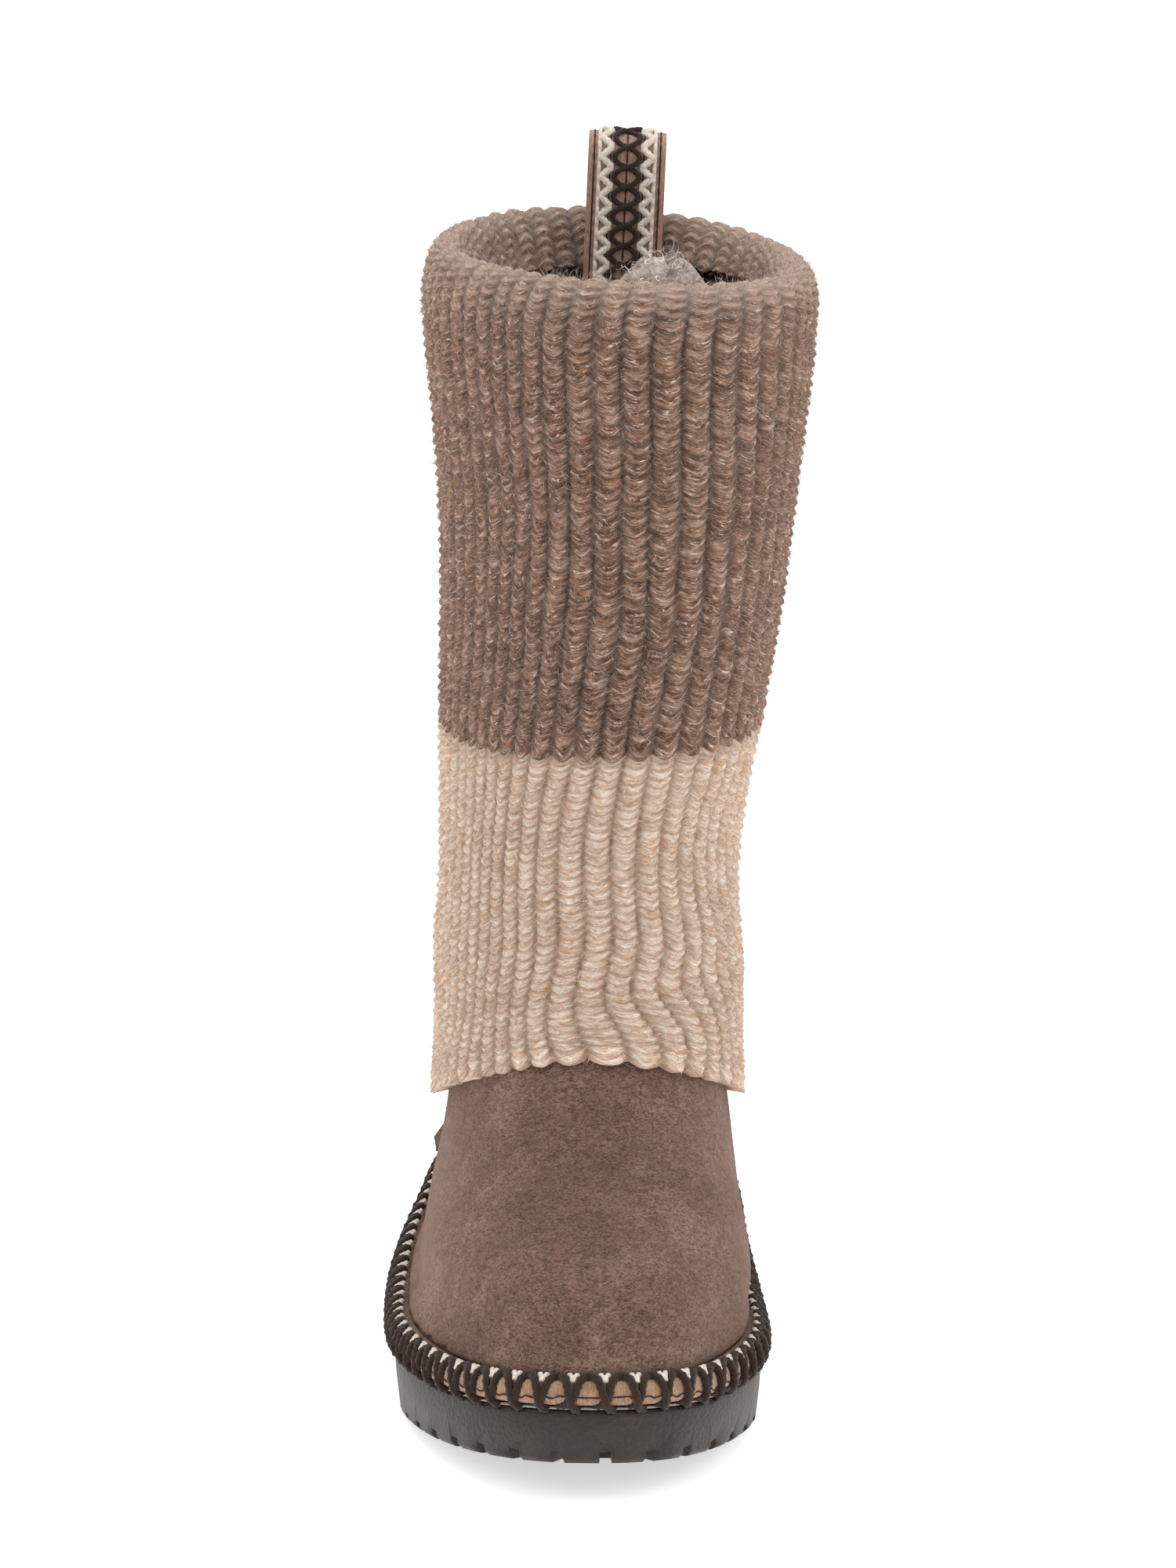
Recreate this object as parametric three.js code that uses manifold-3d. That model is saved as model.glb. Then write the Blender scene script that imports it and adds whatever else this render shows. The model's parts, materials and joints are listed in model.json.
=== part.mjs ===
// Mukluk boot for the right foot, in millimetres: a suede boot with a shaft, a rubber sole, an
// embroidered band round its foot, and a ribbed knit sleeve that hangs over the shaft.
// +Z is up, the toe points along -Y, and the outer (lateral) side of the foot is towards -X.
import * as THREE from "three";
import { mergeVertices } from "three/addons/utils/BufferGeometryUtils.js";
import Module from "manifold-3d";

const wasm = await Module();
wasm.setup();

// Driving dimensions of the foot and sole
const BOOT_LENGTH = 268;
const BALL_WIDTH = 105;
const HEEL_WIDTH = 88;
const TOE_SOLE = 15;
const BALL_SOLE = 19.5;
const HEEL_SOLE = 30;
const TOE_SPRING = 13.5;
const HEEL_BEVEL = 2.5;
const SOLE_LIP = 1;
const SOLE_LIP_HEIGHT = 1.5;
const SOLE_DRAFT = 3;
const SOLE_EDGE_ROUND = 1.4;
const SOLE_TOP_ROUND = 0.7;
const CLEARANCE = 0.3;

// Driving dimensions of the tread
const LUG_DEPTH = 3;
const LUG_PITCH = 14.5;
const LUG_LENGTH = 10;
const NOTCH_WIDTH = 3.4;
const BAR_WIDTH = 7;
const BAR_PITCH = 13;
const BAR_SWEEP = 7;

// Driving dimensions of the band, its felt edge and the footbed
const BAND_HEIGHT = 8.4;
const BAND_THICKNESS = 6.5;
const FELT_THICKNESS = 0.8;
const FELT_PROUD = 0.3;
const FOOTBED_THICKNESS = 8;
const FOOTBED_DISH = 1.5;
const FOOTBED_DISH_WIDTH = 26;

// Driving dimensions of the suede upper
const SUEDE_WALL = 2.2;
const ANKLE_HEIGHT = 127;
const ANKLE_WIDTH = 76.8;
const ANKLE_LENGTH = 122.5;
const ANKLE_SETBACK = 13;
const COLLAR_HEIGHT = 306;
const COLLAR_WIDTH = 84;
const COLLAR_LENGTH = 112;
const COLLAR_SETBACK = 19;
const COLLAR_LEAN = 9.3;

// Driving dimensions of the knit sleeve
const KNIT_THICKNESS = 5;
const KNIT_RISE = 15;
const RIM_EASE = 11.3;
const RIM_TILT = 4;
const RIM_BACK_LIFT = 4;
const HEM_HEIGHT = 66.5;
const HEM_FRONT = 98.5;
const HEM_ARCH = 0.8;
const TURN_IN_THICKNESS = 4;

// Driving dimensions of the pull loop and the side label
const LOOP_WIDTH = 23;
const LOOP_RISE = 42;
const LOOP_STRAP = 1.8;
const LOOP_GAP = 9;
const LOOP_SEWN = 16;
const LOOP_LEAN = 0.045;
const LOOP_BEND = 32;
const LABEL_WIDTH = 16;
const LABEL_HEIGHT = 17;
const LABEL_THICKNESS = 1.2;
const LABEL_FLARE = 4;
const LABEL_FRONT_SHARE = 0.35;
const LABEL_CURL = 1.5;
const LABEL_BOTTOM = 46;
const LABEL_FROM_HEEL = 42;

// How finely the round forms are divided
const SIDE_COLUMNS = 26;
const OUTLINE_SAMPLES = 360;

// Plan outline of the boot's foot over the band. "along" runs from heel to toe as a share of the
// length; lateral and medial are half widths as shares of the width there.
const OUTLINE = [
  { along: 0.01, lateral: 0.24, medial: 0.205 },
  { along: 0.056, lateral: 0.428, medial: 0.37 },
  { along: 0.114, lateral: 0.505, medial: 0.448 },
  { along: 0.2, lateral: 0.528, medial: 0.484 },
  { along: 0.288, lateral: 0.535, medial: 0.472 },
  { along: 0.37, lateral: 0.539, medial: 0.455 },
  { along: 0.45, lateral: 0.54, medial: 0.453 },
  { along: 0.53, lateral: 0.54, medial: 0.461 },
  { along: 0.6, lateral: 0.538, medial: 0.472 },
  { along: 0.68, lateral: 0.529, medial: 0.478 },
  { along: 0.755, lateral: 0.493, medial: 0.466 },
  { along: 0.84, lateral: 0.42, medial: 0.412 },
  { along: 0.91, lateral: 0.329, medial: 0.339 },
  { along: 0.968, lateral: 0.205, medial: 0.233 },
  { along: 0.9955, lateral: 0.076, medial: 0.115 },
];
const TOE_TIP_SHIFT = 0.02;
// Where the curves and the tread's open waist start and end, as shares of the length from the heel.
const SPRING_START = 0.6;
const SPRING_POWER = 1.35;
const BEVEL_END = 0.09;
const HEEL_TAPER_START = 0.1;
const BALL_TAPER_START = 0.62;
const BALL_TAPER_END = 0.95;
const WIDTH_GROWTH_START = 0.12;
const WIDTH_GROWTH_END = 0.52;
const WAIST_START = 0.33;
const WAIST_END = 0.5;

// Levels of the upper between the band's top (rise 0) and the ankle (rise 1). "retreat" is how far
// the front has moved back from the toe to the ankle's front, "setback" the same at the heel,
// lateral and medial are shares of the half width at the base, and "round" goes from the foot's
// outline (0) to the shaft's oval (1).
const FOOT_LEVELS = [
  { rise: 0, retreat: 0, setback: 0, lateral: 1, medial: 1, round: 0 },
  { rise: 0.026, retreat: 0.008, setback: -0.1, lateral: 0.985, medial: 1.02, round: 0 },
  { rise: 0.074, retreat: 0.022, setback: -0.17, lateral: 0.974, medial: 1.055, round: 0 },
  { rise: 0.126, retreat: 0.047, setback: -0.15, lateral: 0.965, medial: 1.08, round: 0.03 },
  { rise: 0.19, retreat: 0.094, setback: -0.1, lateral: 0.957, medial: 1.09, round: 0.1 },
  { rise: 0.253, retreat: 0.165, setback: 0, lateral: 0.945, medial: 1.09, round: 0.2 },
  { rise: 0.316, retreat: 0.26, setback: 0.09, lateral: 0.92, medial: 1.085, round: 0.3 },
  { rise: 0.379, retreat: 0.375, setback: 0.2, lateral: 0.89, medial: 1.07, round: 0.4 },
  { rise: 0.453, retreat: 0.51, setback: 0.35, lateral: 0.87, medial: 1.05, round: 0.5 },
  { rise: 0.537, retreat: 0.645, setback: 0.5, lateral: 0.855, medial: 1.01, round: 0.65 },
  { rise: 0.632, retreat: 0.775, setback: 0.68, lateral: 0.84, medial: 1, round: 0.8 },
  { rise: 0.726, retreat: 0.875, setback: 0.8, lateral: 0.86, medial: 1.01, round: 0.9 },
  { rise: 0.842, retreat: 0.95, setback: 0.93, lateral: 0.95, medial: 1, round: 0.97 },
  { rise: 1, retreat: 1, setback: 1, lateral: 1, medial: 1, round: 1 },
];
// Shares of the way from ankle to collar where the shaft has a level.
const SHAFT_LEVELS = [0.2, 0.5, 0.76, 1];
const SHAFT_FLARE = 1.35;
const OVAL_POWER = 2.2;

// Ease of the sleeve over the upper from the hem (rise 0) to the rim (rise 1), as shares of the
// rim's ease. The swell at 0.18 is the slouch above the hem.
const SLEEVE_LEVELS = [
  { rise: 0, ease: 0.11 },
  { rise: 0.04, ease: 0.11 },
  { rise: 0.09, ease: 0.11 },
  { rise: 0.135, ease: 0.12 },
  { rise: 0.18, ease: 0.15 },
  { rise: 0.225, ease: 0.12 },
  { rise: 0.28, ease: 0.08 },
  { rise: 0.35, ease: 0.1 },
  { rise: 0.45, ease: 0.28 },
  { rise: 0.61, ease: 0.5 },
  { rise: 0.78, ease: 0.62 },
  { rise: 0.96, ease: 0.97 },
];
// Soft folds of the sleeve: where each lies round the sleeve (0 heel, 1 front, plus on the medial
// side) and up it, how far it reaches each way, and its height as a share of the knit.
const SLEEVE_FOLDS = [
  { around: 0.86, rise: 0.18, wide: 0.32, tall: 0.075, height: 0.6 },
  { around: -0.6, rise: 0.2, wide: 0.4, tall: 0.08, height: 0.25 },
];
// The rim's rolled edge, from outside over the crest to the turned-in end: "out" is the share of
// the way from the collar's wall to the sleeve's face, "up" the share from collar to crest.
const RIM_OUTSIDE = [
  { out: 1.01, up: 0.1 },
  { out: 0.93, up: 0.62 },
  { out: 0.74, up: 0.93 },
  { out: 0.5, up: 1 },
  { out: 0.25, up: 0.88 },
  { out: 0.08, up: 0.6 },
  { out: -0.02, up: 0.3 },
];
const RIM_INSIDE = [
  { out: 0.36, up: 0.42 },
  { out: 0.52, up: 0.58 },
  { out: 0.64, up: 0.35 },
];

// The band's outer face from its foot to its inner edge, as shares of its thickness and height.
const BAND_FACE = [
  { inset: 0.12, up: 0 },
  { inset: 0, up: 0.2 },
  { inset: 0, up: 0.55 },
  { inset: 0.14, up: 0.82 },
  { inset: 0.46, up: 0.97 },
  { inset: 1, up: 1 },
  { inset: 1, up: 0 },
];

const TREAD_INSET = SOLE_LIP + SOLE_DRAFT + LUG_LENGTH;
const BAND_TOP = FELT_THICKNESS + 2 * CLEARANCE + BAND_HEIGHT;
const BASE_INSET = BAND_THICKNESS + CLEARANCE;
const RIM_OUT = RIM_EASE + KNIT_THICKNESS;
const TOE_END = -BOOT_LENGTH / 2;
const HEEL_END = BOOT_LENGTH / 2;

const mix = (a, b, share) => a + (b - a) * share;
const smooth = (low, high, value) => THREE.MathUtils.smoothstep(value, low, high);
const bump = (distance, reach) => Math.exp(-((distance / reach) ** 2));

// Reads a column of a table at a value of its first column, straight between rows.
function readTable(table, key, column, at) {
  let row = 1;
  while (row < table.length - 1 && table[row][key] < at) row += 1;
  const [low, high] = [table[row - 1], table[row]];
  const share = THREE.MathUtils.clamp((at - low[key]) / (high[key] - low[key]), 0, 1);
  return mix(low[column], high[column], share);
}

// Share of the boot's length at a place along it, 0 at the heel and 1 at the toe.
const alongAt = (y) => (HEEL_END - y) / BOOT_LENGTH;

// How far the toe's spring lifts the sole at a place along it.
function springAt(along) {
  return TOE_SPRING * Math.max(0, (along - SPRING_START) / (1 - SPRING_START)) ** SPRING_POWER;
}

// Underside of the sole: flat, with the toe's spring and a small bevel at the heel.
function soleBottom(y) {
  const along = alongAt(y);
  return springAt(along) + HEEL_BEVEL * Math.max(0, 1 - along / BEVEL_END) ** 2;
}

// Top of the sole, which tapers from the heel to the ball and on to the toe.
function soleTop(y) {
  const along = alongAt(y);
  const rear = mix(HEEL_SOLE, BALL_SOLE, smooth(HEEL_TAPER_START, BALL_TAPER_START, along));
  return springAt(along) + mix(rear, TOE_SOLE, smooth(BALL_TAPER_START, BALL_TAPER_END, along));
}

// The plan outline as one closed curve: up the lateral side to the toe, back down the medial.
function outlineCurve() {
  const growth = (along) => smooth(WIDTH_GROWTH_START, WIDTH_GROWTH_END, along);
  const width = (along) => mix(HEEL_WIDTH, BALL_WIDTH, growth(along));
  const place = (row, side) =>
    new THREE.Vector3(
      row[side] * width(row.along) * (side === "lateral" ? -1 : 1),
      HEEL_END - row.along * BOOT_LENGTH,
      0,
    );
  return new THREE.CatmullRomCurve3(
    [
      new THREE.Vector3(0, HEEL_END, 0),
      ...OUTLINE.map((row) => place(row, "lateral")),
      new THREE.Vector3(TOE_TIP_SHIFT * BALL_WIDTH, TOE_END, 0),
      ...OUTLINE.toReversed().map((row) => place(row, "medial")),
    ],
    true,
  );
}

const outline = outlineCurve();
const outlineCache = new Map();

// The outline drawn in by an inset, as one list of points for each side from heel to toe.
function outlineSides(inset) {
  if (outlineCache.has(inset)) return outlineCache.get(inset);
  const sides = { lateral: [], medial: [] };
  for (let i = 0; i <= OUTLINE_SAMPLES; i += 1) {
    for (const [side, t] of [
      ["lateral", i / OUTLINE_SAMPLES / 2],
      ["medial", 1 - i / OUTLINE_SAMPLES / 2],
    ]) {
      const point = outline.getPoint(t % 1);
      const tangent = outline.getTangent(t % 1);
      sides[side].push([point.x - tangent.y * inset, point.y + tangent.x * inset]);
    }
  }
  outlineCache.set(inset, sides);
  return sides;
}

// Half-width position on an inset outline at a place y, on one side.
function outlineX(side, y, inset) {
  const points = outlineSides(inset)[side];
  let i = 1;
  while (i < points.length - 1 && points[i][1] > y) i += 1;
  const [[xa, ya], [xb, yb]] = [points[i - 1], points[i]];
  return mix(xa, xb, THREE.MathUtils.clamp((y - ya) / (yb - ya || 1), 0, 1));
}

// The columns that every ring shares: heel, lateral side, toe, medial side. They crowd together
// at the round ends, and "across" pairs have the same place along the foot.
const COLUMNS = Array.from({ length: 2 * SIDE_COLUMNS }, (_, i) => {
  const turn = i <= SIDE_COLUMNS ? i : 2 * SIDE_COLUMNS - i;
  return {
    side: i <= SIDE_COLUMNS ? "lateral" : "medial",
    sign: i <= SIDE_COLUMNS ? -1 : 1,
    along: (1 - Math.cos((Math.PI * turn) / SIDE_COLUMNS)) / 2,
  };
});

// A ring of points on the outline drawn in by an inset, at the heights that a function gives.
function outlineRing(inset, heightAt) {
  return COLUMNS.map(({ side, along }) => {
    const y = mix(HEEL_END - inset, TOE_END + inset, along);
    return new THREE.Vector3(outlineX(side, y, inset), y, heightAt(y));
  });
}

// Faces between neighbouring rings of equally many points.
function ringFaces(count, size, closed) {
  const faces = [];
  for (let r = 0; r < (closed ? count : count - 1); r += 1) {
    const [here, next] = [r * size, ((r + 1) % count) * size];
    for (let i = 0; i < size; i += 1) {
      const j = (i + 1) % size;
      faces.push([here + i, here + j, next + j], [here + i, next + j, next + i]);
    }
  }
  return faces;
}

// Faces that close a ring straight across, from the lateral column to the medial one beside it.
function capFaces(start, flip) {
  const last = 2 * SIDE_COLUMNS;
  const faces = [];
  for (let i = 0; i < SIDE_COLUMNS; i += 1) {
    const [a, b] = [start + i, start + i + 1];
    const [c, d] = [start + ((last - i - 1) % last), start + ((last - i) % last)];
    faces.push([a, b, c], [a, c, d]);
  }
  const proper = faces.filter(([a, b, c]) => a !== b && b !== c && c !== a);
  return flip ? proper.map(([a, b, c]) => [a, c, b]) : proper;
}

// A closed geometry from points and faces, with its faces turned to point out.
function closedGeometry(points, faces) {
  let volume = 0;
  for (const [a, b, c] of faces) {
    volume += points[a].dot(new THREE.Vector3().crossVectors(points[b], points[c]));
  }
  const turned = volume < 0 ? faces.map(([a, b, c]) => [a, c, b]) : faces;
  return new THREE.BufferGeometry()
    .setFromPoints(points)
    .setIndex(turned.flat());
}

// A body like a tyre: its rings go round the boot, and the last one joins the first.
const tyreBody = (rings) =>
  closedGeometry(rings.flat(), ringFaces(rings.length, rings[0].length, true));

// A body like a slab: its rings go up, and the first and last are closed straight across.
const slabBody = (rings) =>
  closedGeometry(rings.flat(), [
    ...ringFaces(rings.length, rings[0].length, false),
    ...capFaces(0, true),
    ...capFaces((rings.length - 1) * rings[0].length, false),
  ]);

// A three.js geometry as a solid for cutting and joining, and back.
function toSolid(geometry) {
  const bare = geometry.clone();
  bare.deleteAttribute("normal");
  bare.deleteAttribute("uv");
  const merged = mergeVertices(bare, 1e-4);
  return new wasm.Manifold(
    new wasm.Mesh({
      numProp: 3,
      vertProperties: merged.attributes.position.array,
      triVerts: new Uint32Array(merged.index.array),
    }),
  );
}

function toGeometry(solid) {
  const mesh = solid.getMesh();
  return new THREE.BufferGeometry()
    .setAttribute("position", new THREE.BufferAttribute(mesh.vertProperties, 3))
    .setIndex(new THREE.BufferAttribute(mesh.triVerts, 1));
}

// Sizes of the upper's outline at a height above the sole: front, back, half widths and shape.
function upperSection(height) {
  const base = outlineSides(BASE_INSET);
  const half = {
    lateral: Math.max(...base.lateral.map(([x]) => -x)),
    medial: Math.max(...base.medial.map(([x]) => x)),
  };
  const ankleFront = HEEL_END - ANKLE_SETBACK - ANKLE_LENGTH;
  const ankleRise = ANKLE_HEIGHT - BALL_SOLE;
  const footBack = HEEL_END - BASE_INSET;
  if (height <= ankleRise) {
    const rise = Math.max(0, (height - BAND_TOP) / (ankleRise - BAND_TOP));
    const read = (column) => readTable(FOOT_LEVELS, "rise", column, rise);
    const round = read("round");
    const belowBand = smooth(0, BAND_TOP, height);
    return {
      front: mix(TOE_END + BASE_INSET, ankleFront, read("retreat")),
      back: mix(footBack, HEEL_END - ANKLE_SETBACK, read("setback") * belowBand),
      lateral: mix(half.lateral * read("lateral"), ANKLE_WIDTH / 2, round),
      medial: mix(half.medial * read("medial"), ANKLE_WIDTH / 2, round),
      round,
      lean: 0,
    };
  }
  const share = (height - ankleRise) / (COLLAR_HEIGHT - ANKLE_HEIGHT);
  const flare = share ** SHAFT_FLARE;
  const back = mix(HEEL_END - ANKLE_SETBACK, HEEL_END - COLLAR_SETBACK, share);
  const width = mix(ANKLE_WIDTH, COLLAR_WIDTH, flare) / 2;
  return {
    front: back - mix(ANKLE_LENGTH, COLLAR_LENGTH, share),
    back,
    lateral: width,
    medial: width,
    round: 1,
    lean: COLLAR_LEAN * smooth(0, 0.74, share),
  };
}

// Height of a point of the upper: near the sole it rides on the sole's curve, higher up it's level.
function upperHeight(height, y) {
  const ride = soleTop(y) - BALL_SOLE;
  const fade = smooth(0, ANKLE_HEIGHT - BALL_SOLE, height);
  return BALL_SOLE + CLEARANCE + height + ride * (1 - fade);
}

// A point on the upper's outer face, from the place along it and the height above the sole.
function upperPoint(side, y, height) {
  const section = upperSection(height);
  const share = THREE.MathUtils.clamp((section.back - y) / (section.back - section.front), 0, 1);
  const base = outlineSides(BASE_INSET)[side];
  const widest = Math.max(...base.map(([x]) => Math.abs(x)));
  const baseY = mix(HEEL_END - BASE_INSET, TOE_END + BASE_INSET, share);
  const foot = outlineX(side, baseY, BASE_INSET) / widest;
  const oval = Math.max(0, 1 - Math.abs(2 * share - 1) ** OVAL_POWER) ** (1 / OVAL_POWER);
  const sign = side === "lateral" ? -1 : 1;
  const x = section.lean + section[side] * mix(foot, sign * oval, section.round);
  return new THREE.Vector3(x, y, upperHeight(height, y));
}

// Outward normals of a grid of rings, from the neighbours of each point.
function gridNormals(rings) {
  return rings.map((ring, r) =>
    ring.map((_, i) => {
      const size = ring.length;
      const round = new THREE.Vector3().subVectors(
        ring[(i + 1) % size],
        ring[(i + size - 1) % size],
      );
      const above = rings[Math.min(r + 1, rings.length - 1)][i];
      const below = rings[Math.max(r - 1, 0)][i];
      const up = new THREE.Vector3().subVectors(above, below);
      return new THREE.Vector3().crossVectors(round, up).normalize();
    }),
  );
}

// Rings moved along their normals, with the first and last kept level with where they were.
function offsetRings(rings, normals, distanceAt) {
  return rings.map((ring, r) =>
    ring.map((point, i) => {
      const moved = point.clone().addScaledVector(normals[r][i], distanceAt(r, i));
      const isEnd = r === 0 || r === rings.length - 1;
      return isEnd ? moved.setZ(point.z) : moved;
    }),
  );
}

// Outsole: one rubber block with a drafted side, a lip, edge lugs and cross bars.
function outsole() {
  const height = (share, shift) => (y) => mix(soleBottom(y), soleTop(y), share) + shift;
  const block = toSolid(
    slabBody([
      outlineRing(SOLE_LIP + SOLE_DRAFT, height(0, 0)),
      outlineRing(SOLE_LIP + SOLE_DRAFT / 2, height(0, SOLE_EDGE_ROUND)),
      outlineRing(SOLE_LIP + SOLE_DRAFT / 8, height(0.6, 0)),
      outlineRing(SOLE_LIP, height(1, -SOLE_LIP_HEIGHT)),
      outlineRing(SOLE_LIP + SOLE_TOP_ROUND, height(1, 0)),
    ]),
  );
  const recess = toSolid(
    slabBody([
      outlineRing(TREAD_INSET, (y) => soleBottom(y) - 2 * LUG_DEPTH),
      outlineRing(TREAD_INSET, (y) => soleBottom(y) + LUG_DEPTH),
    ]),
  );
  return toGeometry(block.subtract(recess.subtract(treadBars())).subtract(edgeNotches()));
}

// Chevron bars across the tread, under the heel and the forefoot, with the waist left open.
function treadBars() {
  const reach = BALL_WIDTH / 2;
  const chevron = new THREE.Shape([
    new THREE.Vector2(-reach, 0),
    new THREE.Vector2(0, -BAR_SWEEP),
    new THREE.Vector2(reach, 0),
    new THREE.Vector2(reach, BAR_WIDTH),
    new THREE.Vector2(0, BAR_WIDTH - BAR_SWEEP),
    new THREE.Vector2(-reach, BAR_WIDTH),
  ]);
  const depth = TOE_SPRING + 6 * LUG_DEPTH;
  const bars = [];
  for (let from = BAR_PITCH * 1.5; from < BOOT_LENGTH - BAR_PITCH; from += BAR_PITCH) {
    const along = from / BOOT_LENGTH;
    if (along > WAIST_START && along < WAIST_END) continue;
    const bar = new THREE.ExtrudeGeometry(chevron, { depth, bevelEnabled: false });
    bars.push(toSolid(bar.translate(0, HEEL_END - from, -3 * LUG_DEPTH)));
  }
  return bars.reduce((all, bar) => all.add(bar));
}

// Notches that part the edge lugs, spaced evenly round the sole's rim.
function edgeNotches() {
  const perimeter = outline.getLength();
  const count = Math.round(perimeter / LUG_PITCH);
  const notches = [];
  for (let i = 0; i < count; i += 1) {
    const point = outline.getPointAt((i + 0.5) / count);
    const tangent = outline.getTangentAt((i + 0.5) / count);
    const notch = new THREE.BoxGeometry(2 * TREAD_INSET, NOTCH_WIDTH, 4 * LUG_DEPTH);
    notch.rotateZ(Math.atan2(tangent.x, -tangent.y));
    notch.translate(point.x, point.y, soleBottom(point.y) - LUG_DEPTH);
    notches.push(toSolid(notch));
  }
  return notches.reduce((all, notch) => all.add(notch));
}

// Felt edge: the thin pale strip that shows between the sole and the band.
function feltEdge() {
  const low = (y) => soleTop(y) + CLEARANCE;
  const high = (y) => low(y) + FELT_THICKNESS;
  return tyreBody([
    outlineRing(SOLE_LIP - FELT_PROUD, low),
    outlineRing(SOLE_LIP - FELT_PROUD, high),
    outlineRing(BAND_THICKNESS, high),
    outlineRing(BAND_THICKNESS, low),
  ]);
}

// Embroidered band: a padded strip round the foot, upright outside and rounded in at its top.
function band() {
  const at = (share) => (y) =>
    soleTop(y) + 2 * CLEARANCE + FELT_THICKNESS + share * BAND_HEIGHT;
  return tyreBody(BAND_FACE.map(({ inset, up }) => outlineRing(inset * BAND_THICKNESS, at(up))));
}

// Footbed: the soft slab on the sole inside the upper, slightly dished.
function footbed() {
  const inset = BASE_INSET + SUEDE_WALL + 2 * CLEARANCE;
  return slabBody([
    outlineRing(inset, (y) => soleTop(y) + CLEARANCE),
    outlineRing(inset, (y) => soleTop(y) + FOOTBED_THICKNESS),
    outlineRing(inset + FOOTBED_DISH_WIDTH, (y) => soleTop(y) + FOOTBED_THICKNESS - FOOTBED_DISH),
  ]);
}

// The upper's outer face as rings, from the sole to the collar.
function upperRings() {
  const ankleRise = ANKLE_HEIGHT - BALL_SOLE;
  const heights = [
    0,
    ...FOOT_LEVELS.map(({ rise }) => mix(BAND_TOP, ankleRise, rise)),
    ...SHAFT_LEVELS.map((share) => ankleRise + share * (COLLAR_HEIGHT - ANKLE_HEIGHT)),
  ];
  return heights.map((height) => {
    const { front, back } = upperSection(height);
    return COLUMNS.map(({ side, along }) => upperPoint(side, mix(back, front, along), height));
  });
}

// Upper: foot and shaft in one suede wall, open at the collar and underneath.
function upper() {
  const rings = upperRings();
  const inside = offsetRings(rings, gridNormals(rings), () => -SUEDE_WALL);
  inside[0].forEach((point) => point.setZ(upperHeight(0, point.y)));
  return tyreBody([...rings, ...inside.toReversed()]);
}

// Height of the sleeve's hem at a column: low at the sides and back, pushed up by the instep.
function hemHeight(along) {
  const back = Math.min(1, (1 - along) * 2) ** HEM_ARCH;
  return mix(HEM_FRONT, HEM_HEIGHT, back);
}

// Rings of the upper's face under the sleeve, which the sleeve's walls are offset from.
function sleeveSeat() {
  const frontAtHem = upperSection(HEM_FRONT - BALL_SOLE).front;
  const rimBase = COLLAR_HEIGHT + KNIT_RISE - RIM_OUT;
  return SLEEVE_LEVELS.map(({ rise }) =>
    COLUMNS.map(({ side, along }) => {
      const top = mix(hemHeight(along), rimBase, rise);
      const height = top - BALL_SOLE - CLEARANCE;
      const { front, back } = upperSection(height);
      const y = mix(back, Math.max(front, frontAtHem), along);
      return upperPoint(side, y, height);
    }),
  );
}

// How far a fold lifts the sleeve at a column and level.
function foldAt(column, rise) {
  const around = column.along * column.sign;
  return SLEEVE_FOLDS.reduce(
    (sum, fold) =>
      sum +
      fold.height * bump(around - fold.around, fold.wide) * bump(rise - fold.rise, fold.tall),
    0,
  );
}

// The rolled rim: points round the collar at a share out from its wall and up to the crest.
function rimRing({ out, up }, inner) {
  const height = COLLAR_HEIGHT - BALL_SOLE - CLEARANCE;
  const { front, back, lean } = upperSection(height);
  const ring = COLUMNS.map(({ side, along }) =>
    upperPoint(side, mix(back, front, along), height),
  );
  const level = (point) => new THREE.Vector3(point.x, point.y, 0);
  const flat = [ring.map(level), ring.map((point) => level(point).setZ(1))];
  const normals = gridNormals(flat)[0];
  const base = COLLAR_HEIGHT + 2 * CLEARANCE;
  return ring.map((point, i) => {
    const moved = point.clone().addScaledVector(normals[i], out * RIM_OUT - inner);
    const tilt = (-RIM_TILT * (moved.x - lean)) / (COLLAR_WIDTH / 2 + RIM_OUT);
    const lift = RIM_BACK_LIFT * (1 - COLUMNS[i].along) ** 4;
    return moved.setZ(base + (COLLAR_HEIGHT + KNIT_RISE - base + tilt + lift) * up);
  });
}

// Knit sleeve: hangs from a rolled rim over the shaft and turns in to the collar's edge.
function sleeve() {
  const seat = sleeveSeat();
  const normals = gridNormals(seat);
  const outward = (extra) => (r, i) =>
    SLEEVE_LEVELS[r].ease * RIM_EASE +
    CLEARANCE +
    foldAt(COLUMNS[i], SLEEVE_LEVELS[r].rise) * KNIT_THICKNESS +
    extra;
  const face = offsetRings(seat, normals, outward(KNIT_THICKNESS));
  const back = offsetRings(seat, normals, outward(0));
  const turnedEnd = { out: TURN_IN_THICKNESS / 2 / RIM_OUT, up: 0 };
  return tyreBody([
    ...face,
    ...RIM_OUTSIDE.map((row) => rimRing(row, 0)),
    rimRing(turnedEnd, SUEDE_WALL / 2 + TURN_IN_THICKNESS),
    rimRing(turnedEnd, SUEDE_WALL / 2),
    ...RIM_INSIDE.map((row) => rimRing(row, 0)),
    ...back.toReversed(),
  ]);
}

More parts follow.
